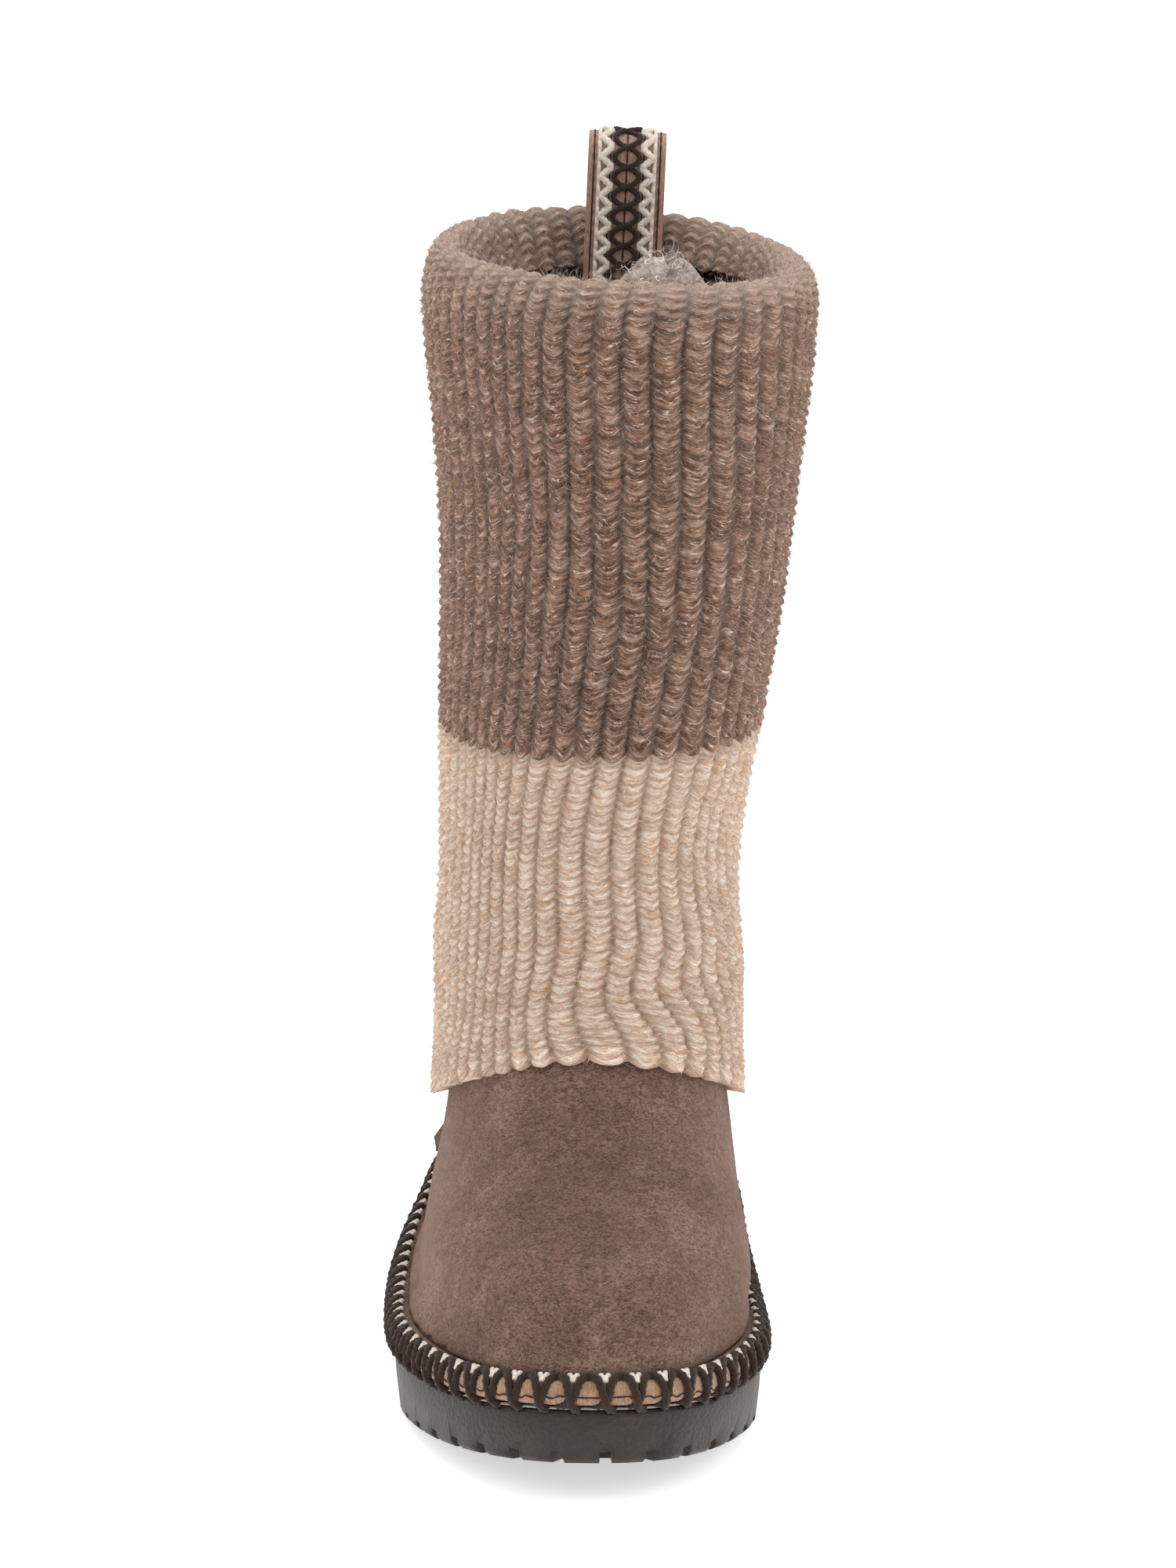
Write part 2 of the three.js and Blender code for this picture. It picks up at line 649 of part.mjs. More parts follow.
// Pull loop: a strap folded double, both ends sewn together inside the back of the collar.
function pullLoop() {
  const height = COLLAR_HEIGHT - BALL_SOLE - CLEARANCE;
  const { back, lean } = upperSection(height);
  const foot = COLLAR_HEIGHT - LOOP_SEWN;
  const top = COLLAR_HEIGHT + LOOP_RISE - foot;
  const round = LOOP_GAP / 2 + LOOP_STRAP;
  const profile = (thickness, bottom) => {
    const inside = LOOP_STRAP - thickness;
    const reach = round - inside;
    const path = new THREE.Path();
    path.moveTo(inside, bottom);
    path.lineTo(inside, top - 2 * round);
    path.absarc(round, top - round, reach, Math.PI, 0, true);
    path.bezierCurveTo(
      round + reach,
      top - 2 * round,
      2 * LOOP_STRAP - inside,
      LOOP_SEWN + 2 * round,
      2 * LOOP_STRAP - inside,
      LOOP_SEWN,
    );
    return path.getPoints(6);
  };
  const strap = new THREE.Shape([
    ...profile(LOOP_STRAP, 0),
    new THREE.Vector2(2 * LOOP_STRAP, 0),
  ]);
  strap.holes.push(new THREE.Path(profile(0, LOOP_SEWN + LOOP_STRAP).slice(0, -1).toReversed()));
  const geometry = new THREE.ExtrudeGeometry(strap, {
    depth: LOOP_WIDTH,
    steps: 3,
    bevelEnabled: false,
  });
  geometry.translate(0, 0, -LOOP_WIDTH / 2);
  bendLoop(geometry.attributes.position, top);
  geometry.rotateX(Math.PI / 2);
  geometry.rotateZ(Math.PI / 2);
  geometry.rotateY(LOOP_LEAN);
  const sewnFace = back - SUEDE_WALL / 2 - TURN_IN_THICKNESS / 2 - CLEARANCE;
  geometry.translate(lean, sewnFace - 2 * LOOP_STRAP, foot);
  return geometry;
}

// Bends the loop's sewn end round to the collar's curve, and lets it go flat towards the top.
function bendLoop(points, top) {
  for (let i = 0; i < points.count; i += 1) {
    const bend = points.getZ(i) ** 2 / (2 * LOOP_BEND);
    points.setX(i, points.getX(i) - bend * (1 - smooth(LOOP_SEWN, top, points.getY(i))));
  }
}

// Side label: a small blank flap sewn along its top edge, its lower rear corner standing off.
function sideLabel() {
  const steps = [0, 1 / 3, 2 / 3, 1];
  const grid = steps.map((down) =>
    steps.map((rear) => {
      const y = HEEL_END - LABEL_FROM_HEEL - LABEL_WIDTH * (1 - rear);
      const z = LABEL_BOTTOM + LABEL_HEIGHT * (1 - down);
      const height = z - upperHeight(0, y);
      const seat = upperPoint("lateral", y, height);
      const along = upperPoint("lateral", y - 1, height).sub(seat);
      const above = upperPoint("lateral", y, height + 1).sub(seat);
      const normal = new THREE.Vector3().crossVectors(along, above).normalize();
      const stand = CLEARANCE + LABEL_FLARE * down ** LABEL_CURL * mix(LABEL_FRONT_SHARE, 1, rear);
      return { seat, normal, stand };
    }),
  );
  const layer = (extra) =>
    grid.flatMap((row) =>
      row.map(({ seat, normal, stand }) => seat.clone().addScaledVector(normal, stand + extra)),
    );
  return plateBody(layer(0), layer(LABEL_THICKNESS), steps.length);
}

// A thin plate from an inner and an outer layer of points on the same square grid.
function plateBody(inner, outer, size) {
  const count = inner.length;
  const faces = [];
  for (let r = 0; r < size - 1; r += 1) {
    for (let c = 0; c < size - 1; c += 1) {
      const [a, b] = [r * size + c, r * size + c + 1];
      const [d, e] = [a + size, b + size];
      faces.push([a, d, b], [b, d, e]);
      faces.push([count + a, count + b, count + d], [count + b, count + e, count + d]);
    }
  }
  const top = Array.from({ length: size }, (_, c) => c);
  const right = top.map((r) => r * size + size - 1);
  const bottom = top.map((c) => (size - 1) * size + c);
  const left = top.map((r) => r * size);
  const edge = [
    ...top.slice(0, -1),
    ...right.slice(0, -1),
    ...bottom.slice(1).toReversed(),
    ...left.slice(1).toReversed(),
  ];
  edge.forEach((a, i) => {
    const b = edge[(i + 1) % edge.length];
    faces.push([a, b, count + a], [b, count + b, count + a]);
  });
  return closedGeometry([...inner, ...outer], faces);
}

const FINISH = {
  rubber: { color: 0x4a4441, roughness: 0.6, metalness: 0 },
  felt: { color: 0xcfc6bb, roughness: 0.95, metalness: 0 },
  braid: { color: 0x8a6c58, roughness: 0.9, metalness: 0 },
  suede: { color: 0x7b655a, roughness: 0.95, metalness: 0 },
  fleece: { color: 0xb9b2a9, roughness: 1, metalness: 0 },
  knit: { color: 0x9c8069, roughness: 1, metalness: 0 },
  label: { color: 0x6a564b, roughness: 0.85, metalness: 0 },
};

function piece(name, geometry, finish) {
  const mesh = new THREE.Mesh(geometry, new THREE.MeshStandardMaterial(FINISH[finish]));
  mesh.name = name;
  return mesh;
}

const boot = new THREE.Group();
boot.add(
  piece("outsole", outsole(), "rubber"),
  piece("felt_edge", feltEdge(), "felt"),
  piece("embroidered_band", band(), "braid"),
  piece("upper", upper(), "suede"),
  piece("footbed", footbed(), "fleece"),
  piece("knit_sleeve", sleeve(), "knit"),
  piece("pull_loop", pullLoop(), "braid"),
  piece("side_label", sideLabel(), "label"),
);

// The origin is the middle of the boot's box, on the floor.
const box = new THREE.Box3().setFromObject(boot);
const middle = box.getCenter(new THREE.Vector3());
boot.position.set(-middle.x, -middle.y, -box.min.z);

export default boot;
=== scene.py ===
# %% [markdown]
# # A mukluk boot with a knit sleeve
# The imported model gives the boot's true form: sole, suede, band, sleeve and loop, each in its place.
# This lesson dresses it. Every solid gets one piece or more that lie where the solid lies, with the ribs,
# stitches, pile and embroidery that a plain solid doesn't have. All lengths are in metres.

# %% Load the frame
import json
import math

import bmesh
import bpy
import numpy as np
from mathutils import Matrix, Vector, noise
from mathutils.bvhtree import BVHTree
from mathutils.kdtree import KDTree

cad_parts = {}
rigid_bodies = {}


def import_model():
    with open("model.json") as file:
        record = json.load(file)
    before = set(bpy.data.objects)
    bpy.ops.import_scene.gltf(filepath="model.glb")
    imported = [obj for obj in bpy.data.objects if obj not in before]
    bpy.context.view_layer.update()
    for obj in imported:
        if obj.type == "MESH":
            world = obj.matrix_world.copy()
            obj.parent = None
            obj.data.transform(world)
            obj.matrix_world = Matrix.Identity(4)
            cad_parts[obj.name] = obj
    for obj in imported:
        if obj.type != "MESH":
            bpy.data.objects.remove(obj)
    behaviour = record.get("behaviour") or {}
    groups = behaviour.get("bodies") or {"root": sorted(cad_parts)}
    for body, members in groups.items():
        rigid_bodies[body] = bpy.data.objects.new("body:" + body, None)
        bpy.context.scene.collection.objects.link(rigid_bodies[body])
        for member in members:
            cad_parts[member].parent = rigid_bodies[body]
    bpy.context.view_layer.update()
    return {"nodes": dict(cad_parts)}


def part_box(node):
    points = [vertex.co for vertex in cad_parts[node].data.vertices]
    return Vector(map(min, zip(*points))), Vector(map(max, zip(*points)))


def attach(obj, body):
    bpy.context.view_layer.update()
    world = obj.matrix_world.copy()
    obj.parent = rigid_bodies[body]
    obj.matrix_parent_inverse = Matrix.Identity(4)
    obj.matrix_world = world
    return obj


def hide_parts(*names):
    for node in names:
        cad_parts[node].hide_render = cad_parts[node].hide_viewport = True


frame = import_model()
print("boxes of the model's nodes:")
for node in sorted(frame["nodes"]):
    low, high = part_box(node)
    print(f"  {node}: {[round(c, 4) for c in low]} to {[round(c, 4) for c in high]}")

# %% [markdown]
# ## The camera and the light
# The picture looks as if a long lens took it from about two metres, a little above the boot, which keeps
# the uprights nearly parallel. A white sweep with big soft lamps gives the pale floor and the faint shadow
# under the sole. The camera looks down by the angle that best fits the rim, the hem, the ball and the toe.

# %% Camera
CAMERA_PLACE = (-0.0055, -2.0, 0.6009)
CAMERA_PITCH = math.radians(12.034)
CAMERA_LENS = 164.3
SENSOR_HEIGHT = 36.0

view = bpy.data.cameras.new("camera")
view.sensor_fit = "VERTICAL"
view.sensor_height = SENSOR_HEIGHT
view.lens = CAMERA_LENS
view.clip_start = 0.05
view.clip_end = 50
camera = bpy.data.objects.new("camera", view)
camera.location = CAMERA_PLACE
camera.rotation_euler = (math.pi / 2 - CAMERA_PITCH, 0, 0)
bpy.context.scene.collection.objects.link(camera)
bpy.context.scene.camera = camera
print("the camera stands", round(Vector(CAMERA_PLACE).length, 3), "m from the origin")

# %% Light
FLOOR_SIZE = 60.0
LAMPS_AIM = Vector((0, 0, 0.15))
# Name, place, width in metres and power in watts.
LAMPS = [
    ("key", (1.9, -0.7, 1.4), 1.4, 13.5),
    ("fill", (-1.6, -1.2, 1.4), 1.6, 7.0),
    ("top", (-0.2, 0.1, 2.2), 1.2, 15.0),
]
WORLD_LIGHT = 1.0


def add_lamp(name, place, size, power):
    """A square soft lamp that looks at the middle of the boot."""
    lamp = bpy.data.lights.new(name, "AREA")
    lamp.size = size
    lamp.energy = power
    holder = bpy.data.objects.new(name, lamp)
    holder.location = place
    aim = LAMPS_AIM - holder.location
    holder.rotation_euler = aim.to_track_quat("-Z", "Y").to_euler()
    bpy.context.scene.collection.objects.link(holder)


for name, place, size, power in LAMPS:
    add_lamp(name, place, size, power)
world = bpy.data.worlds.new("studio")
bpy.context.scene.world = world
world.use_nodes = True
world.node_tree.nodes["Background"].inputs["Color"].default_value = (1, 1, 1, 1)
world.node_tree.nodes["Background"].inputs["Strength"].default_value = WORLD_LIGHT
bpy.context.scene.view_settings.view_transform = "Standard"
print("lamps:", ", ".join(lamp[0] for lamp in LAMPS))

# %% [markdown]
# ## Helpers for materials
# A finish is a small tree of nodes on one Principled shader. The trees here are all built from the same few
# steps: a texture that reads the piece's own coordinates, a ramp that turns it into colour, and a bump.
# Short helpers for these steps keep each finish down to what makes it special.


# %% Material helpers
def linear(colour):
    """A colour from 0 to 255 as seen on a screen, turned into the light values that a shader wants."""
    shares = [c / 255 for c in colour]
    return [c / 12.92 if c <= 0.04045 else ((c + 0.055) / 1.055) ** 2.4 for c in shares] + [1.0]


class Finish:
    """One material and the few node steps that this lesson uses."""

    def __init__(self, name, roughness=0.8, sheen=0.0, sheen_roughness=0.5, specular=0.5):
        self.material = bpy.data.materials.new(name)
        self.material.use_nodes = True
        self.tree = self.material.node_tree
        self.shader = self.tree.nodes["Principled BSDF"]
        self.shader.inputs["Roughness"].default_value = roughness
        self.shader.inputs["Sheen Weight"].default_value = sheen
        self.shader.inputs["Sheen Roughness"].default_value = sheen_roughness
        self.shader.inputs["Specular IOR Level"].default_value = specular

    def node(self, kind, **settings):
        made = self.tree.nodes.new(kind)
        for key, value in settings.items():
            setattr(made, key, value)
        return made

    def link(self, output, socket):
        self.tree.links.new(output, socket)

    def place(self, scale=(1, 1, 1), uv=None):
        """The piece's own coordinates, stretched by scale: its UV map if one is named."""
        mapping = self.node("ShaderNodeMapping")
        mapping.inputs["Scale"].default_value = scale
        if uv:
            source = self.node("ShaderNodeUVMap", uv_map=uv).outputs["UV"]
        else:
            source = self.node("ShaderNodeTexCoord").outputs["Object"]
        self.link(source, mapping.inputs["Vector"])
        return mapping.outputs["Vector"]

    def noise(self, where, scale, detail=3.0, roughness=0.5, distortion=0.0):
        made = self.node("ShaderNodeTexNoise")
        made.inputs["Scale"].default_value = scale
        made.inputs["Detail"].default_value = detail
        made.inputs["Roughness"].default_value = roughness
        made.inputs["Distortion"].default_value = distortion
        self.link(where, made.inputs["Vector"])
        return made.outputs["Fac"]

    def cells(self, where, scale):
        made = self.node("ShaderNodeTexVoronoi", feature="SMOOTH_F1")
        made.inputs["Scale"].default_value = scale
        self.link(where, made.inputs["Vector"])
        return made.outputs["Distance"]

    def attribute(self, name):
        return self.node("ShaderNodeAttribute", attribute_name=name).outputs["Fac"]

    def span(self, value, low, high, to_low=0.0, to_high=1.0):
        """Stretches low..high of a value to a new range, and holds it at the ends."""
        made = self.node("ShaderNodeMapRange")
        self.link(value, made.inputs["Value"])
        settings = (("From Min", low), ("From Max", high), ("To Min", to_low), ("To Max", to_high))
        for socket, number in settings:
            made.inputs[socket].default_value = number
        return made.outputs["Result"]

    def sum(self, *parts):
        """Adds values, each given with its weight."""
        total = None
        for value, weight in parts:
            scaled = self.node("ShaderNodeMath", operation="MULTIPLY_ADD")
            self.link(value, scaled.inputs[0])
            scaled.inputs[1].default_value = weight
            if total:
                self.link(total, scaled.inputs[2])
            else:
                scaled.inputs[2].default_value = 0.0
            total = scaled.outputs["Value"]
        return total

    def ramp(self, value, stops):
        made = self.node("ShaderNodeValToRGB")
        band = made.color_ramp
        band.elements[0].position, band.elements[-1].position = stops[0][0], stops[-1][0]
        for place, _ in stops[1:-1]:
            band.elements.new(place)
        for element, (_, colour) in zip(band.elements, stops):
            element.color = linear(colour)
        self.link(value, made.inputs["Fac"])
        return made.outputs["Color"]

    def blend(self, factor, under, over, kind="MIX"):
        """Mixes two colours, each a socket or a plain colour from 0 to 255. The factor may be a number."""
        made = self.node("ShaderNodeMix", data_type="RGBA", blend_type=kind)
        if isinstance(factor, float):
            made.inputs["Factor"].default_value = factor
        else:
            self.link(factor, made.inputs["Factor"])
        for colour, socket in ((under, made.inputs["A"]), (over, made.inputs["B"])):
            if isinstance(colour, tuple):
                socket.default_value = linear(colour)
            else:
                self.link(colour, socket)
        return made.outputs["Result"]

    def bump(self, height, depth, strength=1.0):
        made = self.node("ShaderNodeBump")
        made.inputs["Distance"].default_value = depth
        made.inputs["Strength"].default_value = strength
        self.link(height, made.inputs["Height"])
        self.link(made.outputs["Normal"], self.shader.inputs["Normal"])

    def colour(self, output):
        self.link(output, self.shader.inputs["Base Color"])

    def on(self, *pieces):
        for piece in pieces:
            piece.data.materials.clear()
            piece.data.materials.append(self.material)


def one_noise(name, noise_settings, stops, bump=None, stretch=(1, 1, 1), **surface):
    """A finish whose colour, and bump if it has one, both come from one noise on the piece's coordinates."""
    finish = Finish(name, **surface)
    value = finish.noise(finish.place(stretch), *noise_settings)
    finish.colour(finish.ramp(value, stops))
    if bump:
        finish.bump(value, *bump)
    return finish


# %% Floor
PAPER_GLOW = 0.55

floor_mesh = bmesh.new()
bmesh.ops.create_grid(floor_mesh, x_segments=1, y_segments=1, size=FLOOR_SIZE / 2)
floor_data = bpy.data.meshes.new("floor")
floor_mesh.to_mesh(floor_data)
floor_mesh.free()
floor = bpy.data.objects.new("floor", floor_data)
bpy.context.scene.collection.objects.link(floor)
paper = Finish("white_paper", roughness=0.9, specular=0.1)
paper.shader.inputs["Base Color"].default_value = linear((245, 245, 245))
paper.shader.inputs["Emission Color"].default_value = (1, 1, 1, 1)
paper.shader.inputs["Emission Strength"].default_value = PAPER_GLOW
paper.on(floor)
print("floor", FLOOR_SIZE, "m wide")

# %% [markdown]
# ## Helpers for shapes
# The model's nodes arrive as loose triangles with coarse facets. Merged, turned back into four-sided faces
# and subdivided, a copy of a node is a smooth surface of the same form. Rays cast at that smooth surface
# tell where it lies, so a finer piece can be laid on it exactly.

# %% Shape helpers
MERGE = 1e-5
FLAT_WITHIN = math.radians(50)
SQUARE_WITHIN = math.radians(60)
BODY = "root"


def add_piece(name, mesh):
    """A new object in the scene that rides with the boot and is shaded smooth."""
    piece = bpy.data.objects.new(name, mesh)
    bpy.context.scene.collection.objects.link(piece)
    mesh.polygons.foreach_set("use_smooth", [True] * len(mesh.polygons))
    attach(piece, BODY)
    return piece


def bmesh_piece(name, shape):
    mesh = bpy.data.meshes.new(name)
    shape.to_mesh(mesh)
    shape.free()
    return add_piece(name, mesh)


def merged_shape(node):
    """A node's mesh as a bmesh with its doubles merged."""
    shape = bmesh.new()
    shape.from_mesh(frame["nodes"][node].data)
    bmesh.ops.remove_doubles(shape, verts=shape.verts, dist=MERGE)
    return shape


def squared_shape(node):
    """The same, with its pairs of triangles joined to four-sided faces."""
    shape = merged_shape(node)
    bmesh.ops.join_triangles(
        shape, faces=shape.faces, angle_face_threshold=FLAT_WITHIN, angle_shape_threshold=SQUARE_WITHIN
    )
    return shape


def settle(piece):
    """Makes the result of a piece's modifiers its mesh."""
    graph = bpy.context.evaluated_depsgraph_get()
    result = bpy.data.meshes.new_from_object(piece.evaluated_get(graph))
    piece.modifiers.clear()
    piece.data = result


def subdivide(piece, levels):
    modifier = piece.modifiers.new("smooth", "SUBSURF")
    modifier.levels = modifier.render_levels = levels
    settle(piece)


def smooth_copy(node, levels, name):
    piece = bmesh_piece(name, squared_shape(node))
    if levels:
        subdivide(piece, levels)
    return piece


def tree_of(node, levels=2):
    """What a ray can hit: the smooth form of a node, without leaving an object in the scene."""
    piece = smooth_copy(node, levels, "probe_" + node)
    tree = BVHTree.FromObject(piece, bpy.context.evaluated_depsgraph_get())
    bpy.data.objects.remove(piece)
    return tree


# %% [markdown]
# ## The path of the knit
# The sleeve is one tube of rib knit. It climbs the shaft, rolls over the top and turns in to the collar.
# The finer piece has to know this path all round, so rays from outside find the sleeve's face at many
# heights, and rays towards the core of the rolled rim find the roll. Resampled, these points are a grid.
# Its rows run round the leg, evenly spaced, and its columns run up the ribs, which aren't all as wide.

# %% Find the sleeve's face
COLUMNS_FOUND = 360
SHAFT_FOOT = Vector((-0.005, 0.060, 0.080))
SHAFT_HEAD = Vector((0.004, 0.059, 0.320))
FAR = 0.16
COLOUR_CHANGE = 0.184
ROLL_START = 0.300
ROLL_HEIGHT = 0.3085
ROLL_DEPTH = 0.0085
ROLL_DEGREES = range(-20, 196, 6)
ROLL_REACH = 0.04
HEM_SEARCH = 0.060
HEM_STEP = 0.0008
HEM_NEIGHBOURS = 4

sleeve_tree = tree_of("knit_sleeve")
azimuths = [math.pi / 2 + math.tau * i / COLUMNS_FOUND for i in range(COLUMNS_FOUND)]
outwards = [Vector((math.cos(a), math.sin(a), 0)) for a in azimuths]


def shaft_axis(height):
    share = (height - SHAFT_FOOT.z) / (SHAFT_HEAD.z - SHAFT_FOOT.z)
    point = SHAFT_FOOT.lerp(SHAFT_HEAD, share)
    point.z = height
    return point


def face_at(tree, outward, height):
    """The outermost point of a form at a height, straight out from the shaft's axis."""
    hit = tree.ray_cast(shaft_axis(height) + outward * FAR, -outward, FAR)
    return hit[0]


def hem_at(outward):
    """How low the sleeve's face reaches on one side."""
    height = HEM_SEARCH
    while face_at(sleeve_tree, outward, height) is None:
        height += HEM_STEP
    return height


def wall(outward, low, high, steps):
    return [face_at(sleeve_tree, outward, low + (high - low) * i / steps) for i in range(steps + 1)]


def fan(tree, core, outward, all_degrees, reach):
    """Where rays towards a core strike a form, at angles that rise from one side of it."""
    points = []
    for degrees in all_degrees:
        angle = math.radians(degrees)
        way = outward * math.cos(angle) + Vector((0, 0, math.sin(angle)))
        hit = tree.ray_cast(core + way * reach, -way, reach)[0]
        if hit:
            points.append(hit)
    return points


def roll(outward):
    """Points over the rolled rim, from the outer face over the crest and in to the collar."""
    start = face_at(sleeve_tree, outward, ROLL_START)
    core = Vector((start.x, start.y, ROLL_HEIGHT)) - outward * ROLL_DEPTH
    return fan(sleeve_tree, core, outward, ROLL_DEGREES, ROLL_REACH)


hems = [hem_at(outward) for outward in outwards]
hem_loop = hems[-HEM_NEIGHBOURS:] + hems + hems[:HEM_NEIGHBOURS]
hem_window = 2 * HEM_NEIGHBOURS + 1
smoothed_hems = np.convolve(hem_loop, np.ones(hem_window) / hem_window, "valid")
print("hem from", round(min(hems), 4), "to", round(max(hems), 4))

# %% Tools for grids of points
ROW_STEP = 0.00066


def steps_along(line):
    """The distances from each point of a line to the next."""
    return np.linalg.norm(np.diff(np.array(line), axis=0), axis=1)


def at_shares(points, shares, closed=False):
    """The points that lie at given shares of a line's length."""
    line = np.array(points)
    if closed:
        line = np.vstack([line, line[:1]])
    lengths = np.concatenate([[0], np.cumsum(steps_along(line))])
    return np.column_stack([np.interp(shares * lengths[-1], lengths, line[:, k]) for k in range(3)])


def evenly(points, count, closed=False):
    """The same line with count points at even distances."""
    return at_shares(points, np.linspace(0, 1, count, endpoint=not closed), closed)


def rings_from(paths, shares):
    """Turns one path per azimuth into rows whose points lie at the same shares of the way round."""
    rows = round(np.median([steps_along(path).sum() for path in paths]) / ROW_STEP)
    grid = np.stack([evenly(path, rows) for path in paths], axis=1)
    return np.stack([at_shares(ring, shares, closed=True) for ring in grid])


def unit(vectors):
    """The same directions, each with a length of one."""
    return vectors / np.maximum(np.linalg.norm(vectors, axis=-1, keepdims=True), 1e-12)


def grid_normals(rings):
    """Outward directions on a grid of points that is closed round each row."""
    around = np.roll(rings, -1, axis=1) - np.roll(rings, 1, axis=1)
    return unit(np.cross(around, np.gradient(rings, axis=0)))


# %% The knit as a grid
WALL_STEPS = 24
GIRTH_HEIGHT = 0.2
# Columns of the grid to a rib.
RIB_POINTS = 7
# How wide a rib is in metres, at places round the leg (0 back, 0.25 outer side, 0.5 front, 0.75 inner side).
# The front's widths were measured on the picture, then rounded and changed. The back's are a guess.
RIB_WIDTHS = [
    (0.00, 0.0074), (0.25, 0.0080), (0.34, 0.0078), (0.37, 0.0062), (0.41, 0.0052), (0.445, 0.0062),
    (0.48, 0.0076), (0.52, 0.0085), (0.57, 0.0090), (0.64, 0.0084), (0.72, 0.0076), (1.00, 0.0074),
]
STEPS_ROUND = 2000

girth_points = [face_at(sleeve_tree, outward, GIRTH_HEIGHT) for outward in outwards]
girth = sum((a - b).length for a, b in zip(girth_points, girth_points[1:]))
steps_round = np.linspace(0, 1, STEPS_ROUND + 1)
rib_widths = np.interp(steps_round, *zip(*RIB_WIDTHS))
ribs_passed = np.concatenate([[0], np.cumsum(girth / STEPS_ROUND / rib_widths[1:])])
RIBS = round(ribs_passed[-1])
rib_numbers = np.arange(RIBS * RIB_POINTS) / RIB_POINTS
column_places = np.interp(rib_numbers, ribs_passed * RIBS / ribs_passed[-1], steps_round)
upper_paths = [wall(way, COLOUR_CHANGE, ROLL_START, WALL_STEPS)[:-1] + roll(way) for way in outwards]
lower_starts = [max(pair) for pair in zip(hems, smoothed_hems)]
lower_paths = [wall(way, low, COLOUR_CHANGE, WALL_STEPS) for way, low in zip(outwards, lower_starts)]
upper_rings = rings_from(upper_paths, column_places)
lower_rings = rings_from(lower_paths, column_places)
print("girth", round(girth, 3), "m,", RIBS, "ribs")
print("rows", len(lower_rings), "below and", len(upper_rings), "above")

# %% [markdown]
# ## Ribs, stitches and folds
# In a one-by-one rib each column of plain stitches stands up as a rounded rib with a deep gutter beside it.
# Along a rib the stitches nest like stacked cups, so each row is a curved ridge, low in the middle and high
# at the sides. Both are real relief here, because they show along the outline. The folds over the instep
# are listed in the boot's own sizes, as soft troughs that also push the ribs sideways. The relief
# has a greatest depth, so that the plain inner wall never shows in front of it. At the hem and where the
# colour changes, each rib ends in a small lip, as cast-off stitches do.

# %% Relief of the knit
STITCH_HEIGHT = 0.0031
GUTTER_SHARE = 0.28
RIB_ROUNDNESS = 0.62
CUP_DEPTH = 0.0010
CUP_ROUNDNESS = 1.3
CUP_HANG = 0.62
CUP_CURVE = 1.5
CUP_IN_GUTTER = 0.35
ROW_SHADE = 0.42
INNER_SHADE = 0.3
# Unevenness of ribs, rows and surface: how much, in ribs, rows or metres, and how quickly it changes.
RIB_WANDER = (0.16, 38)
ROW_WANDER = (0.16, 60)
SURFACE_LUMPS = (0.0004, 170)
DEEPEST = 0.0043
RIM_CALM = 0.3
RIM_FADE = 0.012
SINK = 0.0002
WALL_THICKNESS = 0.0047
INNER_ROWS = 9
HEM_ROWS = 7
HEM_DROP = 0.0019
HEM_SWELL = 0.0010
GRID_MERGE = 1e-6
# Folds: where round the leg (0 back, 0.5 front, less than 0.5 is the outer side), the height in metres, how
# far each reaches both ways, how deep it is, and how far it pushes the ribs round, in ribs.
FOLDS = [
    (0.560, 0.1170, 0.080, 0.0070, 0.0018, 0.30),
    (0.530, 0.1250, 0.050, 0.0070, -0.0014, 0.10),
    (0.575, 0.1010, 0.100, 0.0100, -0.0012, -0.45),
    (0.640, 0.1500, 0.060, 0.0180, 0.0014, 0.30),
    (0.455, 0.1080, 0.050, 0.0110, 0.0012, 0.55),
    (0.330, 0.1080, 0.080, 0.0080, 0.0009, 0.10),
    (0.180, 0.1300, 0.090, 0.0090, 0.0010, 0.00),
    (0.850, 0.1220, 0.090, 0.0100, 0.0012, 0.00),
]


def fold_sums(around, heights):
    """How deep the folds press the knit in, and how far they push the ribs round, at each point."""
    depth = np.zeros_like(heights)
    push = np.zeros_like(heights)
    for centre, level, wide, tall, deep, shift in FOLDS:
        near = np.exp(-(((around - centre) / wide) ** 2) - ((heights - level) / tall) ** 2)
        depth += deep * near
        push += shift * near
    return depth, push


def soft_noise(points, size, pace, seed):
    """Slow noise from -size to size at each of many points. pace is how quickly it changes."""
    offset = Vector((seed, seed * 0.7, seed * 1.3))
    values = [noise.noise(Vector(p) * pace + offset) for p in points.reshape(-1, 3)]
    return size * np.array(values).reshape(points.shape[:-1])


